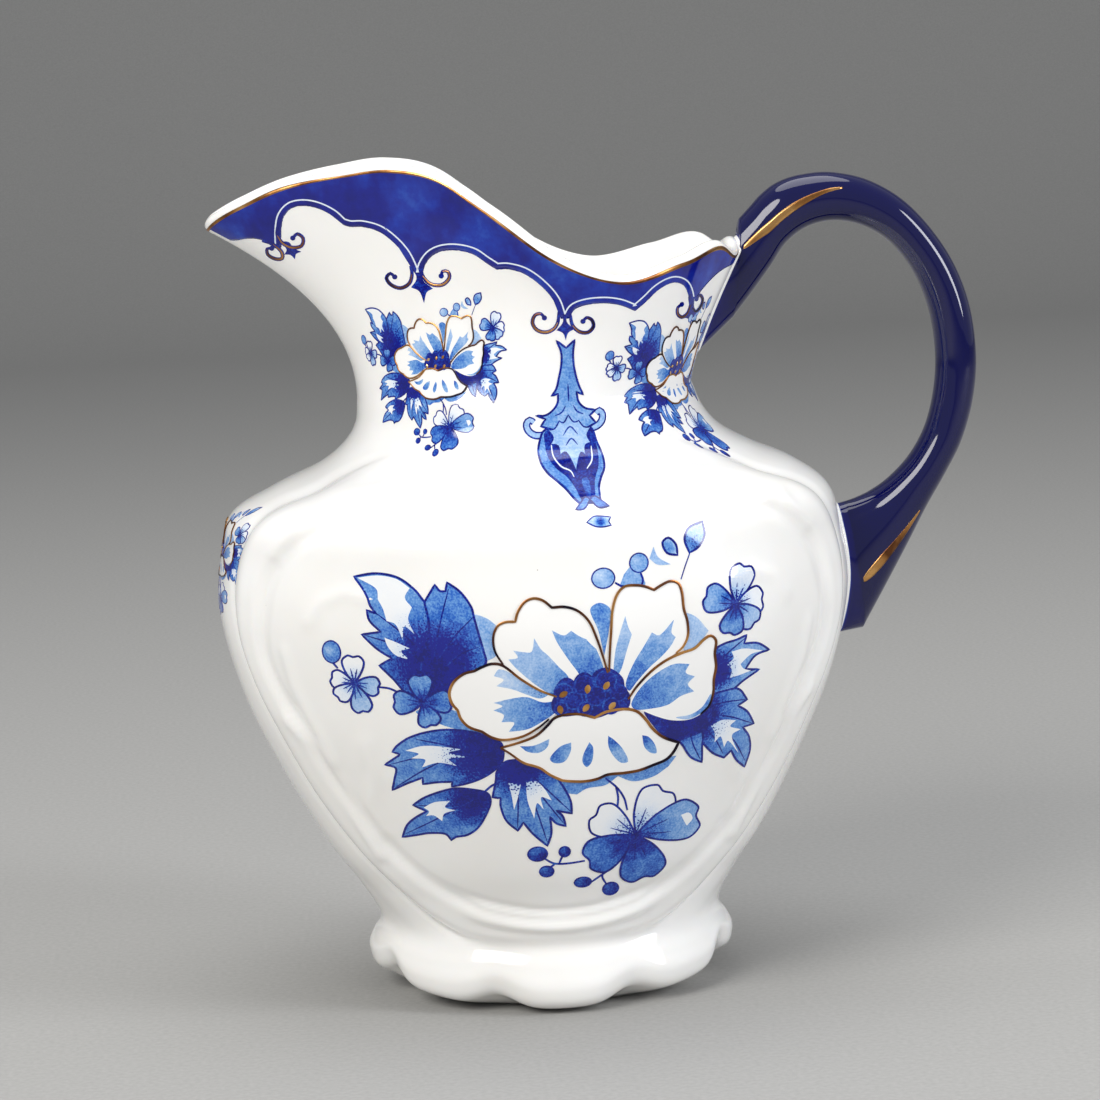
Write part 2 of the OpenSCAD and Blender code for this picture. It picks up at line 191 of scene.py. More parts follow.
def relief(p):
    """Height of the relief, in mm, at points p of the outer surface."""
    x, z = np.abs(p[..., 0]), p[..., 2]
    angle = np.degrees(np.arctan2(z - FRAME_MIDDLE_Z, x))
    out = np.hypot(x, z - FRAME_MIDDLE_Z)
    inner, outer = curve(FRAME_INNER, angle), curve(FRAME_OUTER, angle)
    q = (out - inner) / (outer - inner)
    frame_h = np.where((q > -0.35) & (q < 1.9), curve(FRAME_PROFILE, np.clip(q, -0.35, 1.9)), 0)
    angle_from, angle_over, z_from, z_over = FRAME_FADE
    frame_h = frame_h * (1 - ease((angle - angle_from) / angle_over)) * ease((z - z_from) / z_over)
    here = np.stack([x, z], -1)
    for points, height, half in RIDGES:
        way = np.array(points, float)
        nearest = np.full(x.shape, 99.0)
        for a, b in zip(way[:-1], way[1:]):
            t = np.clip(((here - a) @ (b - a)) / ((b - a) @ (b - a)), 0, 1)
            nearest = np.minimum(nearest, np.linalg.norm(here - a - t[..., None] * (b - a), axis=-1))
        frame_h = frame_h + height * np.exp(-(nearest / half) ** 2)
    low = LEDGE_LOW_Z + LEDGE_BEND * x**2
    high = LEDGE_HIGH_Z + LEDGE_BEND * 1.05 * x**2
    g = (z - low) / (high - low)
    ledge_h = np.where(g < 1, ease((g + 0.35) / 0.6), 1 - ease((g - 1) / 0.25))
    ledge_h = LEDGE_H * ledge_h * (1 - ease((x - LEDGE_HALF + 5) / 6)) * (g > -0.35)
    return frame_h + ledge_h

# %% [markdown]
# ## Meshes from rings
# Most ceramics are lofts: a ring of points for each height, and faces between rings. One helper
# turns a grid of points into quads, and one makes the object, smooth-shaded and in metres.

# %% Mesh helpers
def grid_faces(rows, columns, start=0):
    """Quads between rows of points; the columns meet round the ring."""
    faces = []
    for i in range(rows - 1):
        for j in range(columns):
            k = (j + 1) % columns
            lo, hi = start + i * columns, start + (i + 1) * columns
            faces.append((lo + j, lo + k, hi + k, hi + j))
    return faces


def make_piece(name, points_mm, faces, material):
    """A mesh object from points in mm, riding on the jug."""
    mesh = bpy.data.meshes.new(name)
    mesh.from_pydata((np.asarray(points_mm, float) * MM).tolist(), [], faces)
    mesh.validate()
    mesh.update()
    mesh.polygons.foreach_set("use_smooth", [True] * len(mesh.polygons))
    mesh.materials.append(material)
    piece = bpy.data.objects.new(name, mesh)
    bpy.context.scene.collection.objects.link(piece)
    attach(piece, "root")
    print(name, len(mesh.vertices), "points", len(mesh.polygons), "faces")
    return piece


def loft(rings, first, last):
    """Points and faces of a closed solid through rings, with a fan at each end."""
    n = len(rings[0])
    points = np.vstack([np.asarray(rings, float).reshape(-1, 3), [first, last]])
    faces = grid_faces(len(rings), n)
    end = len(rings) * n
    top = (len(rings) - 1) * n
    faces += [(end, (j + 1) % n, j) for j in range(n)]
    faces += [(end + 1, top + j, top + (j + 1) % n) for j in range(n)]
    return points, faces

# %% [markdown]
# ## Materials
# Glazed porcelain is a white body under a clear glass. The glass gives the sharp, unblurred
# reflections, and the body under it gives the soft white, so the finish is a white base with very
# low roughness, an index of 1.5 and a little light let into the body. Colour is named as sRGB hex
# and turned to linear in one place.

# %% Node helpers
def linear(hex_colour):
    """An sRGB hex colour as linear numbers, opaque."""
    raw = [int(hex_colour[i:i + 2], 16) / 255 for i in (1, 3, 5)]
    return [c / 12.92 if c <= 0.04045 else ((c + 0.055) / 1.055) ** 2.4 for c in raw] + [1.0]


def add_node(tree, kind, settings=None, links=None, **values):
    """One shader node with its settings, its socket values and what feeds its sockets."""
    node = tree.nodes.new(kind)
    for key, value in (settings or {}).items():
        setattr(node, key, value)
    for key, value in values.items():
        node.inputs[key.replace("_", " ")].default_value = value
    for socket, source in (links or {}).items():
        tree.links.new(source, node.inputs[socket])
    return node


def new_material(name):
    """A material with its node tree and its Principled shader."""
    material = bpy.data.materials.new(name)
    material.use_nodes = True
    tree = material.node_tree
    return material, tree, tree.nodes["Principled BSDF"]


def ramp(tree, source, stops):
    """A colour ramp with hex stops, fed by source."""
    node = add_node(tree, "ShaderNodeValToRGB", links={"Fac": source})
    points = node.color_ramp.elements
    while len(points) < len(stops):
        points.new(0.5)
    for point, (place, colour) in zip(points, stops):
        point.position = place
        point.color = linear(colour)
    return node.outputs["Color"]

# %% [markdown]
# ### White porcelain, slip cast and glazed
# Old glaze is never one flat white. It drifts between a warmer and a cooler white, it has a few
# iron specks a quarter of a millimetre across, and its surface waves slightly where it ran in the
# kiln. The waves are wide and low, so reflections wobble but stay sharp.

# %% Glazed white porcelain
def glaze_waves(tree, shader, strength=0.25):
    """The slow ripple of a glaze that ran in the kiln, about 12 mm from wave to wave."""
    place = add_node(tree, "ShaderNodeTexCoord").outputs["Object"]
    wave = add_node(tree, "ShaderNodeTexNoise", links={"Vector": place}, Scale=80.0, Detail=1.0,
                    Roughness=0.4)
    bump = add_node(tree, "ShaderNodeBump", links={"Height": wave.outputs["Fac"]},
                    Strength=strength, Distance=0.0004)
    tree.links.new(bump.outputs["Normal"], shader.inputs["Normal"])
    return place


def glass_coat(shader, roughness=0.08):
    """Sockets that every glazed piece shares."""
    shader.inputs["Roughness"].default_value = roughness
    shader.inputs["IOR"].default_value = 1.5
    shader.inputs["Coat Weight"].default_value = 0.1
    shader.inputs["Coat Roughness"].default_value = 0.03


def white_porcelain():
    material, tree, shader = new_material("glazed_white_porcelain")
    place = glaze_waves(tree, shader)
    cloud = add_node(tree, "ShaderNodeTexNoise", links={"Vector": place}, Scale=28.0, Detail=3.0)
    tone = ramp(tree, cloud.outputs["Fac"], [(0.3, "#F3F1EC"), (0.7, "#FAF9F6")])
    speck = add_node(tree, "ShaderNodeTexVoronoi", links={"Vector": place}, Scale=160.0)
    spot = ramp(tree, speck.outputs["Distance"], [(0.012, "#000000"), (0.02, "#FFFFFF")])
    mix = add_node(tree, "ShaderNodeMix", {"data_type": "RGBA", "blend_type": "MIX"})
    tree.links.new(spot, mix.inputs["Factor"])
    mix.inputs[6].default_value = linear("#9A8F80")
    tree.links.new(tone, mix.inputs[7])
    tree.links.new(mix.outputs[2], shader.inputs["Base Color"])
    shader.inputs["Subsurface Weight"].default_value = 0.12
    shader.inputs["Subsurface Radius"].default_value = (0.004, 0.003, 0.002)
    shader.inputs["Subsurface Scale"].default_value = 0.3
    glass_coat(shader)
    return material


PORCELAIN = white_porcelain()

# %% [markdown]
# ## The cast body
# The outside is the wall with its relief, the edge rolls over as a half round, and the inside is
# the same wall moved in by its thickness. Underneath, a flat ring stands on the table around a
# shallow hollow. Rows are close together where the relief is fine and wider inside.

# %% Body mesh
AROUND = 480
ANGLES = np.arange(AROUND) * 360 / AROUND
LIFT_ROWS = np.concatenate([np.linspace(0, 4, 29), np.linspace(4, NECK_ROW, 169)[1:],
                            np.linspace(NECK_ROW, RIM_ROW, 49)[1:]])


def relief_point(a, s):
    """A point of the outside with its relief, which fades out at the foot and the neck."""
    point, normal, up = wall_frame(a, s)
    return point + normal * relief(point)[..., None]


def lip_point(a, turn):
    """The rolled edge: turn 0 is its outside, 180 its inside."""
    point, normal, up = wall_frame(a, RIM_ROW)
    f = np.radians(turn)
    return point + WALL / 2 * (normal * (np.cos(f) - 1) + up * np.sin(f))


def circle(r, z):
    a = np.radians(ANGLES)
    return np.stack([r * np.cos(a), r * np.sin(a), np.full_like(a, z)], -1)


def inside_ring(s):
    point, normal, up = wall_frame(ANGLES, s)
    return point - normal * WALL


rings = [circle(r, z) for r, z in [(HOLLOW_R - 1.2, HOLLOW_H), (HOLLOW_R - 0.3, HOLLOW_H - 0.4),
                                   (HOLLOW_R, HOLLOW_H - 1.2), (HOLLOW_R, 0.3),
                                   (HOLLOW_R + 0.3, 0.0)]]
rings += [relief_point(ANGLES, s) for s in LIFT_ROWS]
rings += [lip_point(ANGLES, turn) for turn in range(15, 180, 15)]
rings += [inside_ring(s) for s in np.concatenate([np.linspace(RIM_ROW, NECK_ROW, 22),
                                                  np.linspace(NECK_ROW, 4.4, 48)[1:]])]
rings += [circle(WAIST_R - WALL - inset, FLOOR_Z + lift)
          for inset, lift in [(1.2, 4.2), (2.6, 2.4), (4.6, 1.1), (8, 0.3), (14, 0)]]
body_points, body_faces = loft(rings, (0, 0, HOLLOW_H), (0, 0, FLOOR_Z))
jug_body = make_piece("jug_body_cast", body_points, body_faces, PORCELAIN)
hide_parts("jug_body")

# %% [markdown]
# ## The looped handle
# A handle like this is cast by itself and trimmed to fit. Its section is a slightly squared oval,
# set by the inner and outer edge of the loop at each station; at its ends it turns into the seat
# that was cut to fit the body.

# %% Handle sizes
GRIP_W, SLIP_T, SLIP_BEAD, SINK, SQUARENESS = 10.6, 0.6, 0.7, 0.03, 0.9
HANDLE_FOOT_Z, HANDLE_HEEL_Z = 67.0, 93.0
LOOP = np.array([
    (42.4, 131.8, 44.7, 151.6, 0.93), (46.6, 136.8, 46.9, 153.8, 0.95),
    (50.4, 141.6, 49.3, 156.2, 0.97), (53.8, 146.2, 52.6, 158.4, 0.99),
    (58.2, 149.2, 57.2, 159.7, 1), (63.6, 150.2, 63.8, 159.9, 1), (69.4, 148.9, 71.6, 157.7, 1),
    (75.0, 145.2, 79.2, 152.4, 1), (79.6, 138.8, 86.2, 143.2, 1), (82.4, 131.0, 90.2, 133.2, 1),
    (83.4, 122.6, 91.5, 122.4, 1), (82.8, 115.2, 90.6, 113.2, 1), (80.8, 108.0, 88.0, 104.8, 1),
    (77.4, 102.2, 84.4, 98.2, 1.01), (73.2, 98.0, 80.3, 91.6, 1.03),
    (69.2, 95.4, 76.2, 84.3, 1.06), (65.8, 94.0, 71.4, 76.0, 1.1),
    (63.6, 93.4, 66.4, 67.6, 1.13)])
LOOP_LAST = len(LOOP) - 1


def row_at(z):
    """The row of the body at a height on the handle's side."""
    s = np.linspace(5, RIM_ROW, 4000)
    return float(np.interp(z, wall_point(0, s)[:, 2], s))


TOP_SEAT = (RIM_ROW + 0.42, row_at(NECK_Z + 6), math.degrees(math.asin(GRIP_W / 2 / HEEL_REACH)))
BASE_SEAT = (row_at(HANDLE_FOOT_Z), row_at(HANDLE_HEEL_Z),
             math.degrees(math.asin(GRIP_W * 0.58 / BELLY_D)))


def skin(a, s, lift):
    """The wall carried on over its rolled edge, with lift along the normal."""
    point, normal, up = wall_frame(a, np.minimum(s, RIM_ROW))
    f = np.radians(180 * np.maximum(s - RIM_ROW, 0))[..., None]
    roll = normal * np.cos(f) + up * np.sin(f)
    return point - normal * WALL / 2 + roll * (WALL / 2 + lift)


def seat_ring(seat, f, grow, lift):
    """Points round a seat; f is 0 at the handle's outer edge."""
    half, mid = (seat[0] - seat[1]) / 2, (seat[0] + seat[1]) / 2
    g = 1 + grow / (GRIP_W * 0.5)
    turn = np.radians(f)
    return skin(-seat[2] * g * np.sin(turn), mid + half * (1 + (g - 1) * 0.35) * np.cos(turn), lift)


def seat_middle(seat, lift):
    return skin(np.array(0.0), np.array((seat[0] + seat[1]) / 2), lift)


def grip_point(u, f, lift=0.0):
    """The handle's skin at station u; f is 0 on the outer edge and 90 on the -Y flank."""
    xi, zi, xo, zo, share = [curve([(i, r[c]) for i, r in enumerate(LOOP)], u) for c in range(5)]
    half = np.hypot(xo - xi, zo - zi) / 2
    turn = np.radians(f)
    bend = lambda v: np.sign(v) * np.abs(v) ** SQUARENESS
    along_cut = (half + lift) * bend(np.cos(turn)) / half
    x = (xi + xo) / 2 + (xo - xi) / 2 * along_cut
    z = (zi + zo) / 2 + (zo - zi) / 2 * along_cut
    y = -(GRIP_W / 2 * share + lift) * bend(np.sin(turn))
    return np.stack(np.broadcast_arrays(x, y, z), -1)

# %% [markdown]
# ### Cobalt glaze
# Cobalt gives a blue so deep that it reads as navy, and only a thin place shows its colour. It
# runs thin where the handle meets the body, so each point carries how thick its glaze is, and a
# ramp turns thickness into colour. The same glass lies over it as over the white.

# %% Cobalt-glazed porcelain
def set_numbers(piece, name, values):
    """Stores one number for each point of a mesh, for a material to read."""
    layer = piece.data.attributes.new(name, "FLOAT", "POINT")
    layer.data.foreach_set("value", np.asarray(values, np.float32))


def cobalt_glaze():
    material, tree, shader = new_material("cobalt_glazed_porcelain")
    place = glaze_waves(tree, shader, 0.35)
    depth = add_node(tree, "ShaderNodeAttribute", {"attribute_name": "glaze_depth"}).outputs["Fac"]
    cloud = add_node(tree, "ShaderNodeTexNoise", links={"Vector": place}, Scale=220.0, Detail=4.0)
    vary = add_node(tree, "ShaderNodeMath", {"operation": "MULTIPLY_ADD"},
                    {0: cloud.outputs["Fac"], 2: depth})
    vary.inputs[1].default_value = 0.22
    tone = ramp(tree, vary.outputs[0],
                [(0.12, "#E6EBF3"), (0.24, "#7F9DD6"), (0.4, "#1C2FA0"), (0.62, "#0A0F68"),
                 (0.85, "#060854"), (1.0, "#040640")])
    tree.links.new(tone, shader.inputs["Base Color"])
    glass_coat(shader, 0.05)
    return material


COBALT = cobalt_glaze()

# %% Handle mesh
HANDLE_AROUND = 72
TURNS = np.arange(HANDLE_AROUND) * 360 / HANDLE_AROUND
STATIONS = np.linspace(0, LOOP_LAST, LOOP_LAST * 9 + 1)


def near_seat(seat, u, share):
    """A ring between the end station u and its seat, a share of the way to the seat."""
    return grip_point(u, TURNS) * (1 - share) + seat_ring(seat, TURNS, 0, SLIP_T) * share


rings = [near_seat(TOP_SEAT, 0, share) for share in (1, 0.94, 0.8)]
rings += [grip_point(u, TURNS) for u in STATIONS]
rings += [near_seat(BASE_SEAT, LOOP_LAST, share) for share in (0.8, 0.94, 1)]
points, faces = loft(rings, seat_middle(TOP_SEAT, SLIP_T), seat_middle(BASE_SEAT, SLIP_T))
handle = make_piece("handle_cobalt_glazed", points, faces, COBALT)
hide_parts("handle")
depths = np.concatenate([[0.35, 0.6, 0.75], np.minimum(np.clip(0.85 + STATIONS, 0, 1),
                                                       np.clip(LOOP_LAST - STATIONS + 0.8, 0, 1)),
                         [0.7, 0.45, 0.1]])
set_numbers(handle, "glaze_depth", np.append(np.repeat(depths, HANDLE_AROUND), [0.3, 0.1]))

# %% [markdown]
# ## Slip joints
# The handle is stuck on with slip, which is clay thinned with water. A little squeezes out round
# each end and is wiped to a soft bead, and the glaze rounds it over.

# %% Slip joints mesh
for name, node, seat in [("slip_top", "handle_top_slip_joint", TOP_SEAT),
                         ("slip_base", "handle_base_slip_joint", BASE_SEAT)]:
    profile = [(SLIP_BEAD, -SINK), (SLIP_BEAD * 0.93, SLIP_T * 0.3), (SLIP_BEAD * 0.75, SLIP_T * 0.7),
               (SLIP_BEAD * 0.45, SLIP_T * 0.93), (0.0, SLIP_T)]
    rings = [seat_ring(seat, TURNS, grow, lift) for grow, lift in profile]
    points, faces = loft(rings, seat_middle(seat, -SINK), seat_middle(seat, SLIP_T))
    slip = make_piece(name, points, faces, PORCELAIN)
    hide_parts(node)

# %% [markdown]
# ### Fired gold
# Bright gold is brushed on over the glaze and fired low, so it is a metal a few microns thick
# that takes the gloss of the glass under it. Where it lies thin it turns brown, so a patchy noise
# runs from the thin colour to the thick one. Metallic is 1, so its colour is its reflection.

# %% Gold
def fired_gold(name, thin, middle, thick, patch=260.0):
    material, tree, shader = new_material(name)
    place = glaze_waves(tree, shader, 0.2)
    worn = add_node(tree, "ShaderNodeTexNoise", links={"Vector": place}, Scale=patch, Detail=3.0)
    tone = ramp(tree, worn.outputs["Fac"], [(0.38, thin), (0.5, middle), (0.62, thick)])
    tree.links.new(tone, shader.inputs["Base Color"])
    rough = add_node(tree, "ShaderNodeMapRange", links={"Value": worn.outputs["Fac"]})
    rough.inputs["To Min"].default_value = 0.4
    rough.inputs["To Max"].default_value = 0.2
    tree.links.new(rough.outputs["Result"], shader.inputs["Roughness"])
    shader.inputs["Metallic"].default_value = 1.0
    return material


GOLD = fired_gold("fired_bright_gold", "#B07A42", "#E0A95E", "#F5CC8C")
RIM_GOLD = fired_gold("fired_worn_gold", "#6A4228", "#B07A44", "#DBA868", 120.0)
BROWN_GOLD = fired_gold("fired_thin_gold", "#2B2330", "#8E5B34", "#D59C5B", 75.0)

# %% [markdown]
# ## Gilding
# The gold line lies on the outer corner of the rolled edge. It was laid on with a brush while the
# jug turned, so its width wanders a little. The strokes on the handle are wide in the middle and
# thin at both ends.

# %% Gilt line on the edge
GILT_T, RIM_LINE_W = 0.08, 0.8
wander = 1 + 0.18 * np.sin(np.radians(ANGLES * 7)) + 0.12 * np.sin(np.radians(ANGLES * 13 + 40))


def rim_line_ring(k, lift):
    """One corner line of the gilt band: k is 0 on the outside and 1 on the lip."""
    point, normal, up = wall_frame(ANGLES, RIM_ROW)
    f = (k * RIM_LINE_W * wander / (WALL / 2))[..., None]
    roll = normal * np.cos(f) + up * np.sin(f)
    return point - normal * WALL / 2 + roll * (WALL / 2 + lift)


profile = [(0.0, -SINK), (0.0, 0.02), (0.2, GILT_T * 0.7), (0.5, GILT_T * 0.8),
           (0.8, GILT_T * 0.7), (1.0, 0.02), (1.0, -SINK)]
points = np.vstack([rim_line_ring(k, lift) for k, lift in profile])
faces = grid_faces(len(profile), AROUND)
last = (len(profile) - 1) * AROUND
faces += [(last + j, last + (j + 1) % AROUND, (j + 1) % AROUND, j) for j in range(AROUND)]
rim_gilding = make_piece("rim_gilt_line", points, faces, RIM_GOLD)
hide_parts("rim_gilding")

# %% Gilt strokes on the handle
STROKE_W = 1.35
STROKES = [[(0.3, 72), (1.2, 78), (2.2, 86), (3.2, 90), (4.2, 84), (5.2, 68)],
           [(14.2, 48), (14.9, 56), (15.6, 64), (16.2, 70), (16.8, 76)]]
STROKE_STEPS = 48
stroke_points, stroke_faces = [], []
for path in STROKES:
    for side in (1, -1):
        t = np.linspace(0, 1, STROKE_STEPS + 1)
        share = np.linspace(0, 1, len(path))
        u = curve([(k, p[0]) for k, p in zip(share, path)], t)
        f = curve([(k, p[1]) for k, p in zip(share, path)], t)
        half = STROKE_W / 2 * np.sqrt(np.maximum(0.01, np.sin(np.pi * (0.03 + 0.94 * t))))
        spread = np.degrees(half / (GRIP_W / 2))
        cuts = [(-1, -SINK), (-1, 0.01), (-0.5, GILT_T * 0.7), (0, GILT_T * 0.8),
                (0.5, GILT_T * 0.7), (1, 0.01), (1, -SINK)]
        lines = np.stack([grip_point(u, f + k * spread, lift) for k, lift in cuts], 1)
        lines[..., 1] *= side
        start = sum(len(p) for p in stroke_points)
        stroke_points.append(lines.reshape(-1, 3))
        quads = grid_faces(STROKE_STEPS + 1, len(cuts), start)
        ends = [tuple(range(start, start + len(cuts)))[::-1],
                tuple(range(start + STROKE_STEPS * len(cuts), start + (STROKE_STEPS + 1) * len(cuts)))]
        stroke_faces += [q if side > 0 else q[::-1] for q in quads + ends]
handle_gilding = make_piece("handle_gilt_strokes", np.vstack(stroke_points), stroke_faces,
                            RIM_GOLD)
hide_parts("handle_gilding")

# %% [markdown]
# ## Printed transfers
# The flowers are a printed transfer: an engraver's lines and stipple in cobalt, cut out and laid
# on the jug, then fired. It is a film, so each printed shape is a thin closed shell that follows
# the glaze, at most about a fifth of a millimetre up. A shape that overlaps an earlier one lies a
# hair higher, the way a painter works from back to front. A print is drawn flat in millimetres
# and dropped onto the jug along straight lines, so it wraps as a soft transfer does.

# %% Lines through given points
LINE_STEP = 0.55         # mm between points of a drawn line at full size


def fair_line(points, closed=False, step=LINE_STEP):
    """A smooth line through (x, z) points; a third number marks a corner."""
    p = np.array([q[:2] for q in points], float)
    corner = [len(q) > 2 for q in points]
    n = len(p)
    out = []
    for i in range(n if closed else n - 1):
        a, b = i, (i + 1) % n
        chord = p[b] - p[a]
        length = np.hypot(*chord)

        def tangent(k):
            before, after = p[(k - 1) % n], p[(k + 1) % n]
            if corner[k] or (not closed and k in (0, n - 1)):
                return chord
            reach = np.hypot(*(after - p[k])) + np.hypot(*(p[k] - before))
            return (after - before) / max(reach, 1e-6) * length

        m0, m1 = tangent(a), tangent(b)
        t = (np.arange(max(2, int(np.ceil(length / step)))) / max(2, int(np.ceil(length / step))))
        t = t[:, None]
        out.append((2 * t**3 - 3 * t**2 + 1) * p[a] + (t**3 - 2 * t**2 + t) * m0
                   + (3 * t**2 - 2 * t**3) * p[b] + (t**3 - t**2) * m1)
    if not closed:
        out.append(p[-1:])
    return np.vstack(out)

# %% Laying a print on the jug
FILM_BED, FILM_BASE, FILM_STEP = -0.02, 0.035, 0.006      # mm from the glaze
DROP_FROM, SIDE_FROM = 150.0, 40.0     # mm out from the jug's middle, for points on it and past it
glaze_tree = BVHTree.FromPolygons([Vector(p) for p in body_points], body_faces)


def placement(facing, centre, scale=(1.0, 1.0), heart=(0.0, 0.0)):
    """Where a flat drawing goes: facing is the direction it looks, in degrees from the handle,
    and heart is the point of the drawing that lands on centre."""
    turn = math.radians(facing)
    return {"n": np.array([math.cos(turn), math.sin(turn), 0]), "centre": np.array(centre, float),
            "scale": np.array(scale, float), "heart": np.array(heart, float)}


def lay(flat, place, lifts):
    """Drops flat (x, z) points onto the glaze; lifts are heights above it in mm."""
    n = place["n"]
    across = np.array([-n[1], n[0], 0])
    q = (flat - place["heart"]) * place["scale"] + place["centre"]
    out = np.empty((len(q), 3))
    inward = Vector(-n)
    for i, (u, v) in enumerate(q):
        spot = across * u + np.array([0, 0, v])
        hit, normal = glaze_tree.ray_cast(Vector(spot + n * DROP_FROM), inward)[:2]
        if hit is None:
            hit, normal = glaze_tree.find_nearest(Vector(spot + n * SIDE_FROM))[:2]
        out[i] = np.array(hit) + np.array(normal) * lifts[i]
    return out


class Film:
    """Collects shells that become one piece, with the tone and stipple of each point."""

    def __init__(self):
        self.points, self.faces, self.tones, self.dots, self.count = [], [], [], [], 0

    def add(self, points, faces, tone, dots):
        self.points.append(points)
        self.faces += [tuple(k + self.count for k in f) for f in faces]
        self.tones.append(np.broadcast_to(tone, len(points)))
        self.dots.append(np.broadcast_to(dots, len(points)))
        self.count += len(points)

    def finish(self, name, material, slot):
        piece = make_piece(name, np.vstack(self.points), self.faces, material)
        shells = bmesh.new()
        shells.from_mesh(piece.data)
        bmesh.ops.recalc_face_normals(shells, faces=shells.faces)
        shells.to_mesh(piece.data)
        shells.free()
        piece.data.set_sharp_from_angle(angle=math.radians(40))
        set_numbers(piece, "ink_tone", np.concatenate(self.tones))
        set_numbers(piece, "ink_dots", np.concatenate(self.dots))
        return piece


def film_fill(film, outline, place, level, shade, dots, step=0.5):
    """A closed shell over a filled outline. shade is (edge, core, (x, z), reach)."""
    flat = fair_line(outline, closed=True)
    lo, hi = flat.min(0), flat.max(0)
    xs, zs = np.arange(lo[0], hi[0], step) + step * 0.37, np.arange(lo[1], hi[1], step) + step * 0.41
    inside = [Vector((x, z)) for x in xs for z in zs]
    made = delaunay_2d_cdt([Vector(p) for p in flat] + inside, [], [list(range(len(flat)))], 1, 1e-5)
    top = np.array([list(v) for v in made[0]])
    faces = [list(f) for f in made[2]]
    n = len(top)
    lift = FILM_BASE + FILM_STEP * level
    both = np.vstack([lay(top, place, np.full(n, lift)), lay(top, place, np.full(n, FILM_BED))])
    edges = {}
    for f in faces:
        for a, b in zip(f, f[1:] + f[:1]):
            edges[(a, b)] = edges.get((a, b), 0) + 1
    rim = [e for e in edges if (e[1], e[0]) not in edges]
    shell = [tuple(f) for f in faces] + [tuple(k + n for k in f[::-1]) for f in faces]
    shell += [(b, a, a + n, b + n) for a, b in rim]
    edge, core, heart, reach = shade
    near = 1 - ease(np.hypot(*(top - heart).T) / reach)
    tone = edge + (core - edge) * near
    film.add(both, shell, np.tile(tone, 2), np.tile(dots * near, 2))


def film_line(film, line, width, place, level, tone=0.95, closed=False, taper=0.0, height=0.0):
    """A closed ribbon along a drawn line; taper narrows its ends and height domes it."""
    flat = line if isinstance(line, np.ndarray) else fair_line(line, closed)
    ahead = np.roll(flat, -1, 0) - np.roll(flat, 1, 0)
    if not closed:
        ahead[0], ahead[-1] = flat[1] - flat[0], flat[-1] - flat[-2]
    ahead = unit(ahead)
    side = np.stack([-ahead[:, 1], ahead[:, 0]], -1)
    t = np.linspace(0, 1, len(flat))
    half = width / 2 * (1 - taper + taper * np.sqrt(np.maximum(0.03, np.sin(np.pi * t))))
    lift = FILM_BASE + FILM_STEP * level
    cuts = [(-1, FILM_BED), (-1, lift), (-0.5, lift + height * 0.8), (0, lift + height),
            (0.5, lift + height * 0.8), (1, lift), (1, FILM_BED)]
    flats = np.stack([flat + side * half[:, None] * k for k, up in cuts], 1).reshape(-1, 2)
    points = lay(flats, place, np.tile([up for k, up in cuts], len(flat)))
    n = len(cuts)
    rows = len(flat)
    faces = []
    for i in range(rows if closed else rows - 1):
        for j in range(n):
            a, b = i * n, ((i + 1) % rows) * n
            faces.append((a + (j + 1) % n, a + j, b + j, b + (j + 1) % n))
    if not closed:
        faces += [tuple(range(n)), tuple(range((rows - 1) * n, rows * n))[::-1]]
    film.add(points, faces, tone, 0.0)

# %% [markdown]
# ### Cobalt print under glaze
# An engraved plate prints two things: lines, and dots that stand closer where the shade is
# deeper. Each point of the film carries both numbers. The tone runs through a ramp from bare
# white to navy, and a cell pattern with dots half a millimetre apart turns the second number
# into stipple that swells until the dots meet.

# %% Printed cobalt
DOT_SPACING_MM = 0.48


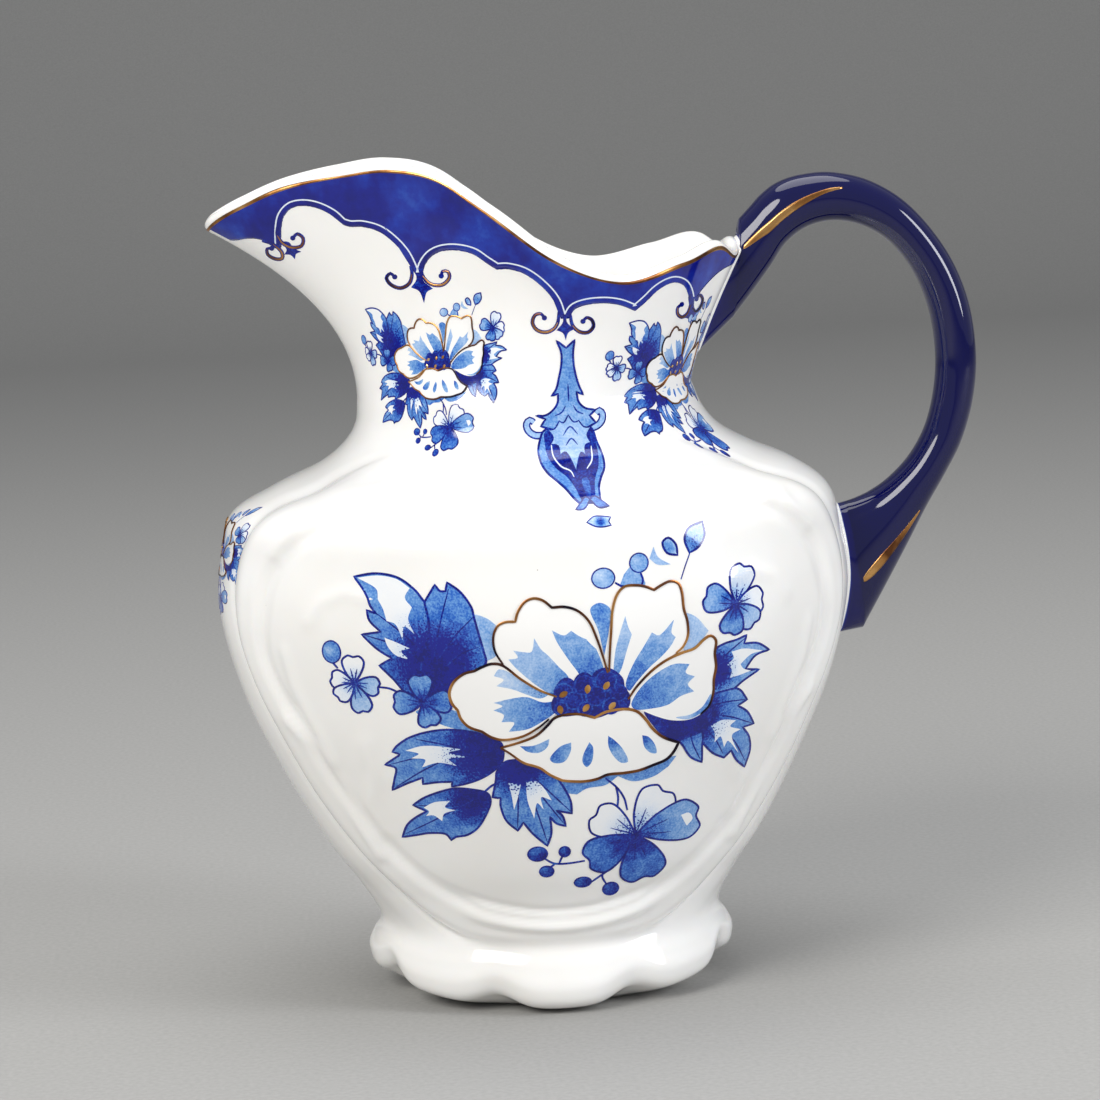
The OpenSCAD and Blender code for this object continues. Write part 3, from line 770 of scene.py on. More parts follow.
def printed_cobalt():
    material, tree, shader = new_material("printed_cobalt_transfer")
    place = glaze_waves(tree, shader)
    tone = add_node(tree, "ShaderNodeAttribute", {"attribute_name": "ink_tone"}).outputs["Fac"]
    dots = add_node(tree, "ShaderNodeAttribute", {"attribute_name": "ink_dots"}).outputs["Fac"]
    wash = add_node(tree, "ShaderNodeTexNoise", links={"Vector": place}, Scale=420.0, Detail=4.0,
                    Roughness=0.6)
    spread = add_node(tree, "ShaderNodeMapRange", links={"Value": wash.outputs["Fac"]})
    for socket, value in [("From Min", 0.25), ("From Max", 0.75), ("To Min", 0.78), ("To Max", 1.22)]:
        spread.inputs[socket].default_value = value
    grain = add_node(tree, "ShaderNodeTexNoise", links={"Vector": place}, Scale=2600.0, Detail=1.0)
    grit = add_node(tree, "ShaderNodeMapRange", links={"Value": grain.outputs["Fac"]})
    for socket, value in [("From Min", 0.3), ("From Max", 0.7), ("To Min", 0.84), ("To Max", 1.16)]:
        grit.inputs[socket].default_value = value
    coarse = add_node(tree, "ShaderNodeMath", {"operation": "MULTIPLY"},
                      {0: tone, 1: spread.outputs["Result"]})
    uneven = add_node(tree, "ShaderNodeMath", {"operation": "MULTIPLY"},
                      {0: coarse.outputs[0], 1: grit.outputs["Result"]})
    cells = add_node(tree, "ShaderNodeTexVoronoi", links={"Vector": place},
                     Scale=1 / (DOT_SPACING_MM * MM))
    swell = add_node(tree, "ShaderNodeMath", {"operation": "SUBTRACT"},
                     {0: dots, 1: cells.outputs["Distance"]})
    dot = add_node(tree, "ShaderNodeMapRange", links={"Value": swell.outputs[0]})
    dot.inputs["From Min"].default_value = -0.04
    dot.inputs["From Max"].default_value = 0.06
    dot.inputs["To Max"].default_value = 0.93
    printed = add_node(tree, "ShaderNodeMath", {"operation": "MAXIMUM"},
                       {0: uneven.outputs[0], 1: dot.outputs["Result"]})
    colour = ramp(tree, printed.outputs[0],
                  [(0.0, "#F8F7F4"), (0.1, "#E6EDF6"), (0.28, "#A9C6EA"), (0.46, "#6799D6"),
                   (0.62, "#2E68C2"), (0.78, "#0E38A0"), (0.92, "#06148A"), (1.0, "#050E70")])
    tree.links.new(colour, shader.inputs["Base Color"])
    glass_coat(shader)
    return material


PRINT = printed_cobalt()

# %% [markdown]
# ### The large flower
# The print is one big open flower with a folded front petal, leaves round it and small blossoms
# and berries. It is set down from back to front: washes, leaves, small blossoms, petals with
# their brushed shading, the dark middle, and at last the gold. Positions are millimetres across
# and up on the broad side of the jug.

# %% Drawing lists
INK, GILT, STAMENS = [], [], []      # printed shapes in painter's order, and two kinds of gold


def wash(outline, tone):
    INK.append(("fill", outline, (tone, tone, (0, 0), 1), 0.0))


def leaf(outline, edge, core, heart, reach, dots, veins=()):
    """A printed leaf: a fill that darkens to its heart, an outline and a few veins."""
    INK.append(("fill", outline, (edge, core, heart, reach), dots))
    INK.append(("line", outline, 0.44, 0.96, True, 0.0))
    for vein in veins:
        INK.append(("line", vein, 0.32, 0.96, False, 0.8))


def light(outline, heart, reach, dots=0.9):
    """A place where the plate was wiped clean: white, with stipple running in from the heart."""
    INK.append(("fill", outline, (0.04, 0.4, heart, reach), dots))


def stem(points, width=0.42):
    INK.append(("line", points, width, 0.9, False, 0.2))


def berry(x, z, r, tone, flat=0.85):
    turn = [math.radians(k * 45) for k in range(8)]
    ring = [(x + r * math.cos(t), z + r * flat * math.sin(t)) for t in turn]
    INK.append(("fill", ring, (tone, tone * 0.6, (x - r * 0.3, z + r * 0.3), r), 0.0))
    INK.append(("line", ring, 0.26, 0.92, True, 0.0))


def blossom(x, z, petals, core):
    """Round petals set round a middle: each is (direction, length, width, tone)."""
    for direction, length, width, tone in petals:
        c, s = math.cos(math.radians(direction)), math.sin(math.radians(direction))
        shape = [(0, 0, 1), (0.4, -0.36), (0.78, -0.52), (0.99, -0.32), (0.96, -0.02), (1.02, 0.2),
                 (0.82, 0.5), (0.38, 0.36)]
        ring = [(x + length * q[0] * c - width * q[1] * s, z + length * q[0] * s + width * q[1] * c)
                + q[2:] for q in shape]
        INK.append(("fill", ring, (tone, min(1, tone + 0.3), (x, z), length * 0.8), core * 0.5))
        INK.append(("line", ring, 0.42, 0.95, True, 0.0))
        for turn in (-14, 10):
            way = math.radians(direction + turn)
            tip = (x + length * 0.55 * math.cos(way), z + length * 0.55 * math.sin(way))
            INK.append(("line", [(x, z), tip], 0.3, 0.9, False, 0.9))


def petal(edge, before=(), after=(), gold_before=(), gold_after=(), gold_w=0.5):
    """A white petal over what is behind it. Its free edge is gilded; before and after complete
    its outline, and gold_before and gold_after the two ends of the gold line."""
    INK.append(("fill", [*before, *edge, *after], (0.0, 0.0, (0, 0), 1), 0.0))
    GILT.append(([*gold_before, *edge, *gold_after], gold_w))


def brushed(outline, tone, heart, reach=9.0, dots=0.25):
    """Blue shading brushed out from the middle of the flower with ragged ends."""
    INK.append(("fill", outline, (tone - 0.1, tone + 0.12, heart, reach), dots))

# %% Washes and leaves behind the flower
wash([(-15.4, 83), (-13, 82.4), (-11.2, 81, 1), (-11.8, 78), (-11.4, 75.2), (-13.6, 74, 1),
      (-14.6, 79)], 0.36)
wash([(6.6, 83), (8.4, 84.1), (10.4, 82.8), (10, 79), (8.9, 74, 1), (7.9, 79)], 0.5)
wash([(12.6, 86.6), (13.4, 89, 1), (15, 90.4), (16.4, 88.8), (17.4, 86.8), (15, 86.4)], 0.42)
wash([(24.8, 80.5), (27, 79.6), (29.4, 76.6, 1), (27, 74), (24.4, 73.4), (25.3, 77)], 0.3)
wash([(-1, 50.2), (0.8, 47), (3, 46.3, 1), (5, 47.4), (8.6, 47.8), (11, 49.4, 1), (14, 48),
      (18, 48.5), (21, 50.2, 1), (22.6, 52.2, 1), (18, 52), (10, 51), (3, 50.6)], 0.5)
wash([(-26.8, 64.2), (-22, 61.6), (-17, 60), (-12.8, 58, 1), (-10.6, 59), (-14, 61.4),
      (-18, 63.8), (-22, 65)], 0.5)
wash([(18.5, 91.5, 1), (19.4, 93.6, 1), (20.2, 91.6), (22.6, 90, 1), (20, 90.2)], 0.35)
leaf([(-37, 90.2, 1), (-33, 90.9), (-29, 90.2), (-26, 88), (-24.2, 85.6, 1), (-23.2, 80),
      (-24.5, 74), (-27.5, 67.5), (-31, 71), (-33.2, 73.3, 1), (-30.8, 74.8, 1), (-33.5, 76.6),
      (-36.2, 79.3, 1), (-32.6, 79.9, 1), (-34.6, 82), (-35, 84, 1), (-33.2, 83.3, 1),
      (-34.3, 84.8), (-34.7, 86.3, 1), (-35.4, 87.8)], 0.5, 1.0, (-23, 74), 13, 1.15,
     [[(-34, 84), (-29, 80), (-25, 76)], [(-35.6, 79.2), (-30, 77.4), (-25, 74.6)]])
light([(-36.4, 90, 1), (-32.6, 90.5), (-29.2, 89.9), (-26.8, 88.2, 1), (-27.8, 86.4), (-26.6, 84.6, 1),
       (-27.4, 82.4), (-26.4, 79.6, 1), (-28.2, 81), (-28.6, 78.4, 1), (-29.8, 81.4), (-31.4, 82, 1),
       (-32, 84.4), (-32.8, 86, 1), (-33, 88)], (-23, 74), 13)
light([(-32, 78.8, 1), (-30, 78), (-27.4, 76.8, 1), (-29, 76.2), (-27.6, 74.6, 1), (-30, 75.4),
       (-31.4, 77)], (-23, 74), 10)
leaf([(-24.2, 85.6, 1), (-22.1, 88.8, 1), (-21.2, 87.6), (-20.2, 87.6, 1), (-19.8, 89.2, 1),
      (-17.5, 87.4), (-15.6, 84.5), (-15.2, 82.5, 1), (-14.4, 79), (-13.7, 76), (-13.4, 73.8),
      (-16, 71), (-20, 68), (-24, 66.5), (-26, 70), (-24.6, 76), (-23.6, 81)],
     0.54, 1.0, (-23, 73), 13.5, 1.15,
     [[(-19.6, 88), (-21.4, 82), (-23, 75)], [(-15.4, 82.6), (-19, 79), (-22.4, 74.4)],
      [(-14.4, 77), (-18.4, 75.4), (-22, 72)]])
leaf([(-11, 57.5), (-13, 58.8), (-16, 60), (-20, 60.6), (-24, 60.3), (-28, 59), (-30.5, 57.2),
      (-31.5, 55.8, 1), (-30.2, 55.3), (-31.2, 54.4), (-33, 53, 1), (-31, 52.4), (-31.3, 50),
      (-31.8, 47.6, 1), (-29, 49.2), (-26, 50.6, 1), (-26, 49.2, 1), (-23, 49.7),
      (-20.5, 49.8, 1), (-20.6, 48.8, 1), (-18, 49.4), (-15.5, 50.3), (-13, 51.8), (-11, 54)],
     0.52, 1.0, (-12.5, 56.4), 15, 1.1,
     [[(-32.4, 53), (-26, 55), (-20, 56), (-13, 56)], [(-27, 58.6), (-22, 57.6), (-18, 56.6)],
      [(-31, 48.4), (-26, 52), (-21, 54.8)]])
light([(-29, 56.2, 1), (-26, 57.2), (-22.6, 57.2), (-18.6, 56.6, 1), (-21, 55.9), (-17.4, 55, 1),
       (-21, 54.6), (-19.6, 53.2, 1), (-23, 53.8), (-26, 52.8, 1), (-25.4, 54.4), (-28, 54.6, 1),
       (-26.6, 55.6)], (-12.5, 56.4), 14)
leaf([(-10, 54), (-12, 52), (-12.3, 50), (-13, 46.5, 1), (-11.5, 46.3, 1), (-11.5, 44.5),
      (-10.5, 41.5), (-8.4, 39.3, 1), (-7.3, 41, 1), (-5.5, 38.5), (-2.8, 35.8, 1), (-2, 38.5),
      (-2.2, 42, 1), (-1, 40.5), (0.8, 39.8, 1), (0.2, 42), (-1, 43.2, 1), (0.5, 42.8),
      (2, 42.4, 1), (1.8, 45), (0.5, 48), (-1.5, 51), (-5, 53.5)],
     0.52, 1.0, (-8, 53), 9.5, 1.1,
     [[(-2.8, 36.6), (-4.6, 43), (-7, 50)], [(-8.4, 40), (-8.2, 45), (-8.2, 50)],
      [(0.4, 40.4), (-3, 45.4), (-6, 50)], [(1.8, 42.8), (-2, 47), (-5.4, 50.8)]])
light([(-10, 49.6, 1), (-9.4, 46.8), (-9, 43.8, 1), (-8.2, 46.4), (-7.6, 49, 1)], (-8, 53), 9)
light([(-6.6, 49.4, 1), (-6.4, 45.6), (-5.2, 41.8, 1), (-4.6, 45), (-3.4, 43.6, 1), (-3.8, 46.2),
       (-1.8, 45.4, 1), (-3.2, 48), (-4.8, 49.6)], (-8, 53), 9)
leaf([(-13.4, 45.6), (-14, 47.4), (-17, 48.2), (-20, 48.4), (-23, 47.6), (-26, 46.2),
      (-28, 44.6, 1), (-25.4, 43.4, 1), (-27.5, 42), (-29.2, 40.2), (-30.2, 37.4, 1),
      (-27.5, 38.1), (-25, 38.7), (-22, 38.6), (-21, 37.3, 1), (-20.2, 38), (-18, 38.5),
      (-16, 40), (-14.5, 42.5)], 0.55, 1.0, (-17, 46), 7.5, 1.1,
     [[(-29.6, 38.2), (-25, 41), (-20, 44), (-15.6, 46.6)], [(-27.2, 44.6), (-22.6, 44.6), (-18.6, 45)]])
light([(-26, 44.2, 1), (-24, 45.4), (-21, 45.8, 1), (-22, 44.4), (-20, 43.8, 1), (-22.2, 43),
       (-22.6, 41.4, 1), (-24.2, 42.6), (-25.6, 42.4, 1), (-25, 43.4)], (-17, 46), 7)
stem([(-14.6, 47.6), (-13, 49), (-11.6, 49.6)])
leaf([(30.5, 72.5), (32.5, 73.6), (35, 74), (37.2, 74.6, 1), (36.6, 73, 1), (39.5, 72.6),
      (42, 70.8, 1), (39, 70.2), (36.8, 67.8, 1), (39.8, 67.2, 1), (36.5, 65.6), (34, 64),
      (30.5, 62.4), (29.8, 68)], 0.42, 1.0, (30.8, 68.6), 6.5, 1.15,
     [[(41, 70.8), (36, 71.4), (31.4, 69.6)], [(39, 67.2), (35, 67.6), (31.4, 67.6)],
      [(36.8, 74), (34, 72.2), (31.4, 70.4)]])
light([(34, 71.8, 1), (36.6, 72), (40.6, 70.9, 1), (38, 70.6), (35.8, 69, 1), (36.4, 68), (38, 67.3, 1),
       (35.4, 66.8), (33.6, 66.6, 1), (34, 68.2), (33, 69.4, 1), (34.4, 70.4)], (30.8, 68.6), 6)
leaf([(29, 63.4), (33, 64.2), (35.4, 64), (37.2, 61.5, 1), (35.2, 60.6, 1), (37.2, 59),
      (38.7, 56.1, 1), (36.2, 56, 1), (37.7, 53.5), (38, 50.5), (36.9, 47.1, 1), (35, 49.2),
      (33.9, 51.4, 1), (32.4, 50.1, 1), (30, 51.6), (28, 54, 1), (26, 57), (24, 60)],
     0.5, 1.0, (25.6, 60.2), 11, 1.15,
     [[(37, 48.4), (34, 54), (29, 58.6)], [(38.2, 56.4), (33.6, 58.6), (28.6, 60)],
      [(36.8, 61.6), (32.4, 61.8), (28.6, 61.4)], [(32.2, 51), (30.4, 54.6), (27.6, 58)]])
light([(29.6, 57.4, 1), (32, 58.2), (34.8, 57.6, 1), (33.6, 56.6), (35.8, 55.6, 1), (34, 54.6),
       (35.4, 50.6, 1), (33.2, 53.6), (32.4, 52.4, 1), (31.6, 54.8), (30.4, 53.8, 1), (30.4, 55.8)],
      (25.6, 60.2), 11)
leaf([(22.6, 56.6), (24, 54), (25.5, 51.5), (27.8, 50, 1), (27.8, 53), (27.6, 56.6)],
     0.5, 0.8, (25, 57), 4, 0.6, [[(27.4, 50.8), (26, 54), (25.2, 57)]])
leaf([(16.5, 62.2), (20, 60.6), (24, 59.6), (27.5, 60), (29.4, 62), (30.6, 60), (28.4, 57),
      (25.6, 56), (22.6, 55.4), (20, 57), (18.3, 59)], 0.98, 1.0, (24, 59), 9, 1.1)

# %% Small blossoms, berries and buds
stem([(-33.6, 69), (-31.6, 68.8), (-29.8, 68)])
blossom(-38, 69.6, [(170, 4.4, 3.6, 0.05), (92, 5.4, 4, 0.03), (-8, 4.6, 3.8, 0.3),
                    (-75, 6, 3.8, 0.3), (225, 4.6, 3.4, 0.1)], 0.9)
blossom(-25.4, 66, [(95, 5.6, 4.4, 0.5), (180, 5.4, 4.6, 0.48), (5, 5.2, 4.4, 0.55),
                    (-72, 4.8, 4.2, 0.5)], 1.0)
stem([(-41, 72.4), (-42, 73.6)])
berry(-42, 75.6, 1.7, 0.55, 1.3)
blossom(35.2, 81, [(160, 6.6, 5.4, 0.42), (74, 7.4, 5, 0.12), (2, 5.6, 5.2, 0.06), (-48, 5.8, 4.6, 0.3),
                   (-104, 5.8, 4.8, 0.5)], 1.0)
stem([(11.6, 87.6), (13, 86.8), (14.6, 86.8)])
berry(9.4, 88.6, 2.2, 0.4)
berry(16.4, 90.9, 1.8, 0.45, 1.0)
stem([(16.6, 89), (17, 87.6), (16.6, 86.6)])
leaf([(24, 91.6, 1), (22, 92.2), (21.2, 94.2), (22.4, 95), (23.8, 93.6)], 0.25, 0.5, (22, 93), 3, 0.2)
leaf([(26.4, 91.8, 1), (25.6, 94.4), (26.6, 96.4), (29.4, 97.2, 1), (29.6, 94.6), (28.2, 92.6)],
     0.3, 0.6, (27, 93.4), 4, 0.4)
stem([(24.4, 87), (25.4, 89.4), (26.6, 92)], 0.22)
stem([(8.6, 49.2), (10.8, 47), (12.2, 44.6), (12.8, 42)])
stem([(10.6, 47.2), (11, 45), (10.8, 42.4)])
stem([(4.4, 32), (1, 31.7), (-1.6, 31.9), (-3.6, 33.2)])
stem([(-0.6, 31.8), (0, 33.2), (0.4, 33.6)])
stem([(-1.4, 31.8), (-2.4, 31)])
stem([(10, 30), (7.8, 28.6), (5.6, 27.1)])
stem([(8.4, 29.8), (7.8, 28.2), (8.6, 26.4)])
for x, z, r, flat in [(-4.7, 34.1, 1.9, 0.8), (0.5, 34.3, 1.1, 1.0), (-3, 30.2, 1.4, 0.85),
                      (4, 27.3, 1.7, 0.65), (9.5, 25.2, 1.6, 0.9)]:
    berry(x, z, r, 0.9, flat)
blossom(14.4, 36.6, [(148, 9.6, 7, 0.04), (58, 10.6, 7.8, 0.05), (10, 13, 8.4, 0.4),
                     (208, 10.6, 7.6, 0.6), (-78, 10.2, 9, 0.62)], 1.1)
light([(23.6, 39.4, 1), (25.2, 39.6), (26, 38.2), (24.8, 36.8, 1), (24.2, 38)], (14.4, 36.6), 6, 0.2)

# %% The five petals
petal([(-11.6, 76), (-11.8, 78.8), (-10.9, 80.8), (-9.4, 81.5), (-7.6, 81.5, 1), (-7, 83.3),
       (-5.6, 85.1), (-3.9, 85.7), (-2.2, 85.2), (-0.6, 83.8, 1), (1.8, 83.8), (4.2, 82.9),
       (6.2, 80.8), (7.6, 77.3), (8.7, 73.5)],
      before=[(-10.4, 73.6)],
      after=[(9.3, 70.3), (5, 66), (0, 66), (-3, 67.8), (-6, 69.6), (-8.6, 72)],
      gold_before=[(-10.2, 73.4)], gold_after=[(9.4, 70.6)])
brushed([(-1, 67), (-4, 68.9), (-7.6, 72.3), (-9.2, 74.3, 1), (-7.4, 74.6), (-8.2, 76, 1),
         (-6.2, 75.6), (-4.8, 75.6), (-4.2, 78.2, 1), (-3, 76), (-1.8, 74.8), (0.2, 72.4),
         (2, 70.2), (2.2, 67)], 0.42, (2, 68))
brushed([(5.5, 69), (3, 72.3), (1.4, 74.8), (0, 77.3), (-0.8, 79.5, 1), (1.4, 78.4), (2.8, 79.2, 1),
         (4.4, 78), (5.6, 77.4, 1), (6.4, 76.4), (7.4, 75.4, 1), (8.4, 72.6), (8.9, 69)], 0.5, (6, 69))
petal([(10.4, 79), (10.8, 82.5), (11.8, 85.3), (13.3, 86.7), (15.5, 86.8), (17.3, 86.4),
       (19, 85.6, 1), (20.6, 86.4), (22.3, 86.9), (23.8, 86.3), (24.4, 84.5), (24.6, 81.5),
       (25.2, 79), (25.2, 76.2), (24.2, 74.2)],
      before=[(10, 71.2), (10.1, 75)],
      after=[(22.6, 73), (19, 71), (16.5, 69), (14.3, 66.5), (12.5, 66), (10, 68)],
      gold_before=[(9.7, 70.8), (10, 75)], gold_after=[(22.8, 73.1)])
brushed([(10.6, 69.5), (11, 74.5), (12, 78), (13.2, 81.2, 1), (13.7, 79), (14.3, 77.6, 1),
         (13.2, 74.5), (11.8, 70.5)], 0.4, (11, 69))
brushed([(12.8, 68), (14.5, 72), (16.5, 75), (18.2, 77.6, 1), (19.6, 76.9), (22.6, 79.6, 1),
         (22, 77.2), (22.8, 76.2, 1), (21.8, 74.6), (20, 72.8), (17.5, 70.8), (15, 68.3), (13.5, 66.6)],
        0.46, (14, 68), 12)
petal([(15, 67.4), (18, 70.2), (21, 72), (24, 73), (26.5, 73.6), (28.3, 75), (29.8, 75.6),
       (30.8, 74.5), (30.5, 72), (30.7, 69.4), (30.2, 66.8), (30.1, 64.4), (29.2, 61.7),
       (27.5, 60.2)],
      before=[(13, 65)],
      after=[(25, 59.4), (21.5, 59.8), (18.5, 61), (16, 62.3), (13.5, 63.2)],
      gold_before=[(13.2, 65)])
brushed([(13.8, 64), (15.5, 66.8), (18, 69), (21, 70.6), (22.8, 71), (25.4, 70.6, 1), (24.6, 69),
         (26.4, 68, 1), (25, 66.6), (26.2, 65, 1), (23.5, 64.4), (21, 63), (17.5, 62.6), (14.5, 62.8)],
        0.48, (14, 65), 13)
brushed([(22.5, 60.2), (25.4, 60.4), (27.8, 61.6), (29.6, 64), (29.2, 61.7), (27.4, 60.3),
         (25, 59.5)], 0.4, (28.4, 60.8), 5)
petal([(-0.4, 66.6), (-3.5, 68), (-7, 70.4), (-10.3, 73.2), (-12.3, 73.6), (-14.2, 73),
       (-15.6, 72.3, 1), (-17.5, 71.8), (-19.5, 70.2), (-20.4, 68), (-20, 66), (-19, 64.6, 1),
       (-18.4, 62.8), (-17, 61.2), (-14.6, 60.2, 1), (-12.8, 59), (-10.5, 58.4), (-7, 59),
       (-4, 60.6)],
      after=[(-1.8, 62.6), (1, 64)], gold_after=[(-2, 62.2)])
brushed([(-11, 72.5), (-8.3, 71.3), (-5.5, 69.2), (-2, 67.2), (-3.5, 66.4), (-6, 67.3),
         (-8.5, 68.4), (-11.6, 69.2, 1), (-10.2, 70.4), (-12, 71.2, 1)], 0.36, (-2, 67))
brushed([(0, 65.6), (-3, 65.6), (-6, 66.8), (-9, 66.6), (-12.2, 65.9, 1), (-10.6, 65.2),
         (-12.3, 64.4, 1), (-10.4, 63.4), (-10.9, 62, 1), (-8.5, 61.8), (-9.6, 60, 1), (-6, 60.4),
         (-3.2, 61.8), (-0.4, 63.8)], 0.48, (-1, 64.4), 11)
FOLD = [(-11.2, 56.8, 1), (-7.5, 57.8), (-4.5, 59)]
petal([(-2.2, 61), (-1, 62.3), (1, 62.9), (4, 62.8), (6.7, 61.9, 1), (9, 62.9), (12.5, 63.1),
       (14.8, 62.4), (16.5, 60.6), (17.8, 58.6), (20, 56.5), (23, 55, 1), (22, 53.2),
       (20.5, 51.8), (18, 51), (15, 50.2), (12, 50, 1), (9, 50), (7, 49.3), (4.5, 49), (2, 49.2),
       (0.3, 49.5, 1), (-2, 50.8), (-4, 52.4), (-7, 53.6), (-9.5, 55.6)],
      after=FOLD, gold_before=FOLD, gold_after=[(-11.2, 56.8)], gold_w=0.55)
for dash in [[(-7.6, 57, 1), (-5, 57), (-2, 58.2, 1), (-2.4, 56.6), (-4, 55.5), (-6.2, 55.8)],
             [(-2, 54.2), (0, 56.5), (2.1, 57.2, 1), (2, 55.5), (0.8, 53.4), (-1.2, 53.2)],
             [(4.4, 54.6), (5.6, 57, 1), (6.3, 55.8), (6, 53), (5, 51.9), (4.2, 53)],
             [(9.2, 58, 1), (10.4, 57), (12, 55), (13, 52.3), (11.6, 52.2), (10, 54), (9.2, 56)],
             [(15.8, 57.4, 1), (17, 57), (18.3, 55.2), (18.6, 53.4), (17.4, 53.6), (16.2, 55)]]:
    brushed(dash, 0.5, dash[0][:2], 5, 0.2)

# %% The dark middle with its gold stamens
leaf([(-0.6, 66.8), (-0.2, 68.6), (0.8, 69.8), (2, 69.9), (3, 69.2, 1), (3.8, 70.4), (5.2, 70.8),
      (6.4, 69.9, 1), (7.4, 71), (9, 71.4), (10.6, 70.8), (12.1, 69.2), (12.4, 67.4, 1),
      (13.4, 65.6), (13, 63.4), (10, 62.8), (7, 62), (4, 62.8), (0.4, 62.8), (-1, 63.8),
      (-1.2, 65.4)], 0.94, 0.99, (6, 66), 7, 0.8)
for x, z, r in [(0.9, 67.4, 1.7), (4.9, 68.5, 1.9), (9, 69, 2), (11.4, 66.4, 1.6), (2.8, 65.6, 1.7),
                (7, 66.2, 1.9), (0.4, 64.2, 1.3), (4.9, 63.8, 1.4), (9.9, 64, 1.6)]:
    knob = [(x + r * math.cos(t), z + r * math.sin(t)) for t in np.radians(range(0, 360, 45))]
    INK.append(("fill", knob, (0.96, 1.0, (x + 0.3, z - 0.5), r), 0.0))
    INK.append(("line", knob, 0.3, 0.82, True, 0.0))
for x, z, turn in [(0.9, 67, 30), (5.5, 67.7, 80), (9.1, 68.1, 55), (0.2, 64, 100), (5.1, 64, 50),
                   (10.1, 64, 45)]:
    c, s = math.cos(math.radians(turn)), math.sin(math.radians(turn))
    STAMENS.append([(x - 0.85 * c, z - 0.85 * s), (x, z), (x + 0.85 * c, z + 0.85 * s)])

# %% Which shape lies on which
BOX_ROOM = 0.5          # mm that a drawn line may reach past its points


def stacked(items):
    """A level for each shape: one above every earlier shape that its box meets. Lines may cross
    lines on one level, because they are the same ink."""
    boxes, levels = [], []
    for item in items:
        p = np.array([q[:2] for q in item[1]])
        lo, hi = p.min(0) - BOX_ROOM, p.max(0) + BOX_ROOM
        under = [level for (kind, a, b), level in zip(boxes, levels)
                 if (kind == "fill" or item[0] == "fill") and (lo < b).all() and (a < hi).all()]
        boxes.append((item[0], lo, hi))
        levels.append(1 + max(under, default=0))
    return levels


LEVELS = stacked(INK)
print("the print has", len(INK), "shapes on", max(LEVELS), "levels")

# %% Flower prints, front, back, under the spout and on the neck
def print_flower(name, place, line_share=1.0):
    film, gold, stamens = Film(), Film(), Film()
    step = 0.75 if place["scale"][0] > 0.7 else 1.5
    for item, level in zip(INK, LEVELS):
        if item[0] == "fill":
            film_fill(film, item[1], place, level, item[2], item[3], step)
        else:
            line, width, tone, closed, taper = item[1:]
            film_line(film, line, width * line_share, place, level, tone, closed, taper)
    for line, width in GILT:
        film_line(gold, line, width * line_share, place, max(LEVELS) + 1, taper=0.4, height=0.05)
    for line in STAMENS:
        film_line(stamens, line, 1.15 * line_share ** 0.5, place, max(LEVELS) + 1, taper=0.9,
                  height=0.08)
    film.finish(name + "_transfer", PRINT, "cobalt_porcelain")
    gold.finish(name + "_gilding", BROWN_GOLD, "gilding")
    stamens.finish(name + "_stamens", GOLD, "gilding")


print_flower("front_flower", placement(270, (0, 0)))
print_flower("back_flower", placement(90, (0, 0)))
print_flower("spout_flower", placement(180, (0, 90), (0.46, 0.3), heart=(0, 62)), 1.2)
for name, facing, height in [("front_left", 235, 128.4), ("front_right", 327, 124.2),
                             ("back_left", 33, 124.2), ("back_right", 125, 128.4)]:
    print_flower(name + "_sprig", placement(facing, (0, height), (0.385, 0.42), heart=(6, 66)), 1.4)

# %% [markdown]
# ## The cobalt border
# Under the gold edge runs a band of cobalt with a scalloped lower edge. It goes right round, so
# it is made as a ring of columns: each runs from the scallop line up over the corner of the
# edge. The scallops are drawn on the broad side, and the same line seen from behind gives the
# back. Inside the lower edge a hairline was left white.

# %% Scallop lines
SCALLOPS = [
    [(-60.6, 155), (-58.6, 153.4), (-56.4, 152.7), (-53, 153.1), (-50.4, 152.6), (-48.3, 151)],
    [(-46.9, 151.2), (-46.8, 154.4), (-46.2, 157.2), (-44.6, 158.9), (-42.2, 159.3),
     (-39.5, 158.7), (-36.8, 157.2), (-35, 155.4, 1), (-33.4, 154.9), (-31, 154.8), (-28, 153.8),
     (-25.5, 151.8), (-23.5, 149.3), (-22.3, 146.6), (-21.9, 144.9)],
    [(-20.2, 144.9), (-19.6, 147), (-18.2, 148.8), (-16.2, 149.7), (-13.5, 149.8), (-10.5, 149),
     (-8.3, 147.4), (-6.2, 145.9, 1), (-4, 145.9), (-1, 144.9), (2, 142.5), (4.3, 139.5),
     (5.4, 136)],
    [(7.1, 136), (8.2, 137.7), (10.6, 138.5), (14, 138.6), (17, 138), (20, 136.6, 1),
     (22.2, 138.2), (25, 140.4), (28, 141.4), (30.2, 140.6), (31.3, 138.6), (31.6, 136)],
    [(32.4, 136), (33.4, 137.8), (35.6, 140), (38.4, 142), (41, 143), (45, 143.4)]]
scallop_lines = [fair_line(line, step=0.3) for line in SCALLOPS]
lower_edge = np.vstack(scallop_lines)
HAIRLINE_IN, HAIRLINE_W = 1.15, 0.28


def moved_aside(line, distance):
    """The same line, moved to its left by a distance."""
    ahead = unit(np.gradient(line, axis=0))
    return line + distance * np.stack([-ahead[:, 1], ahead[:, 0]], -1)

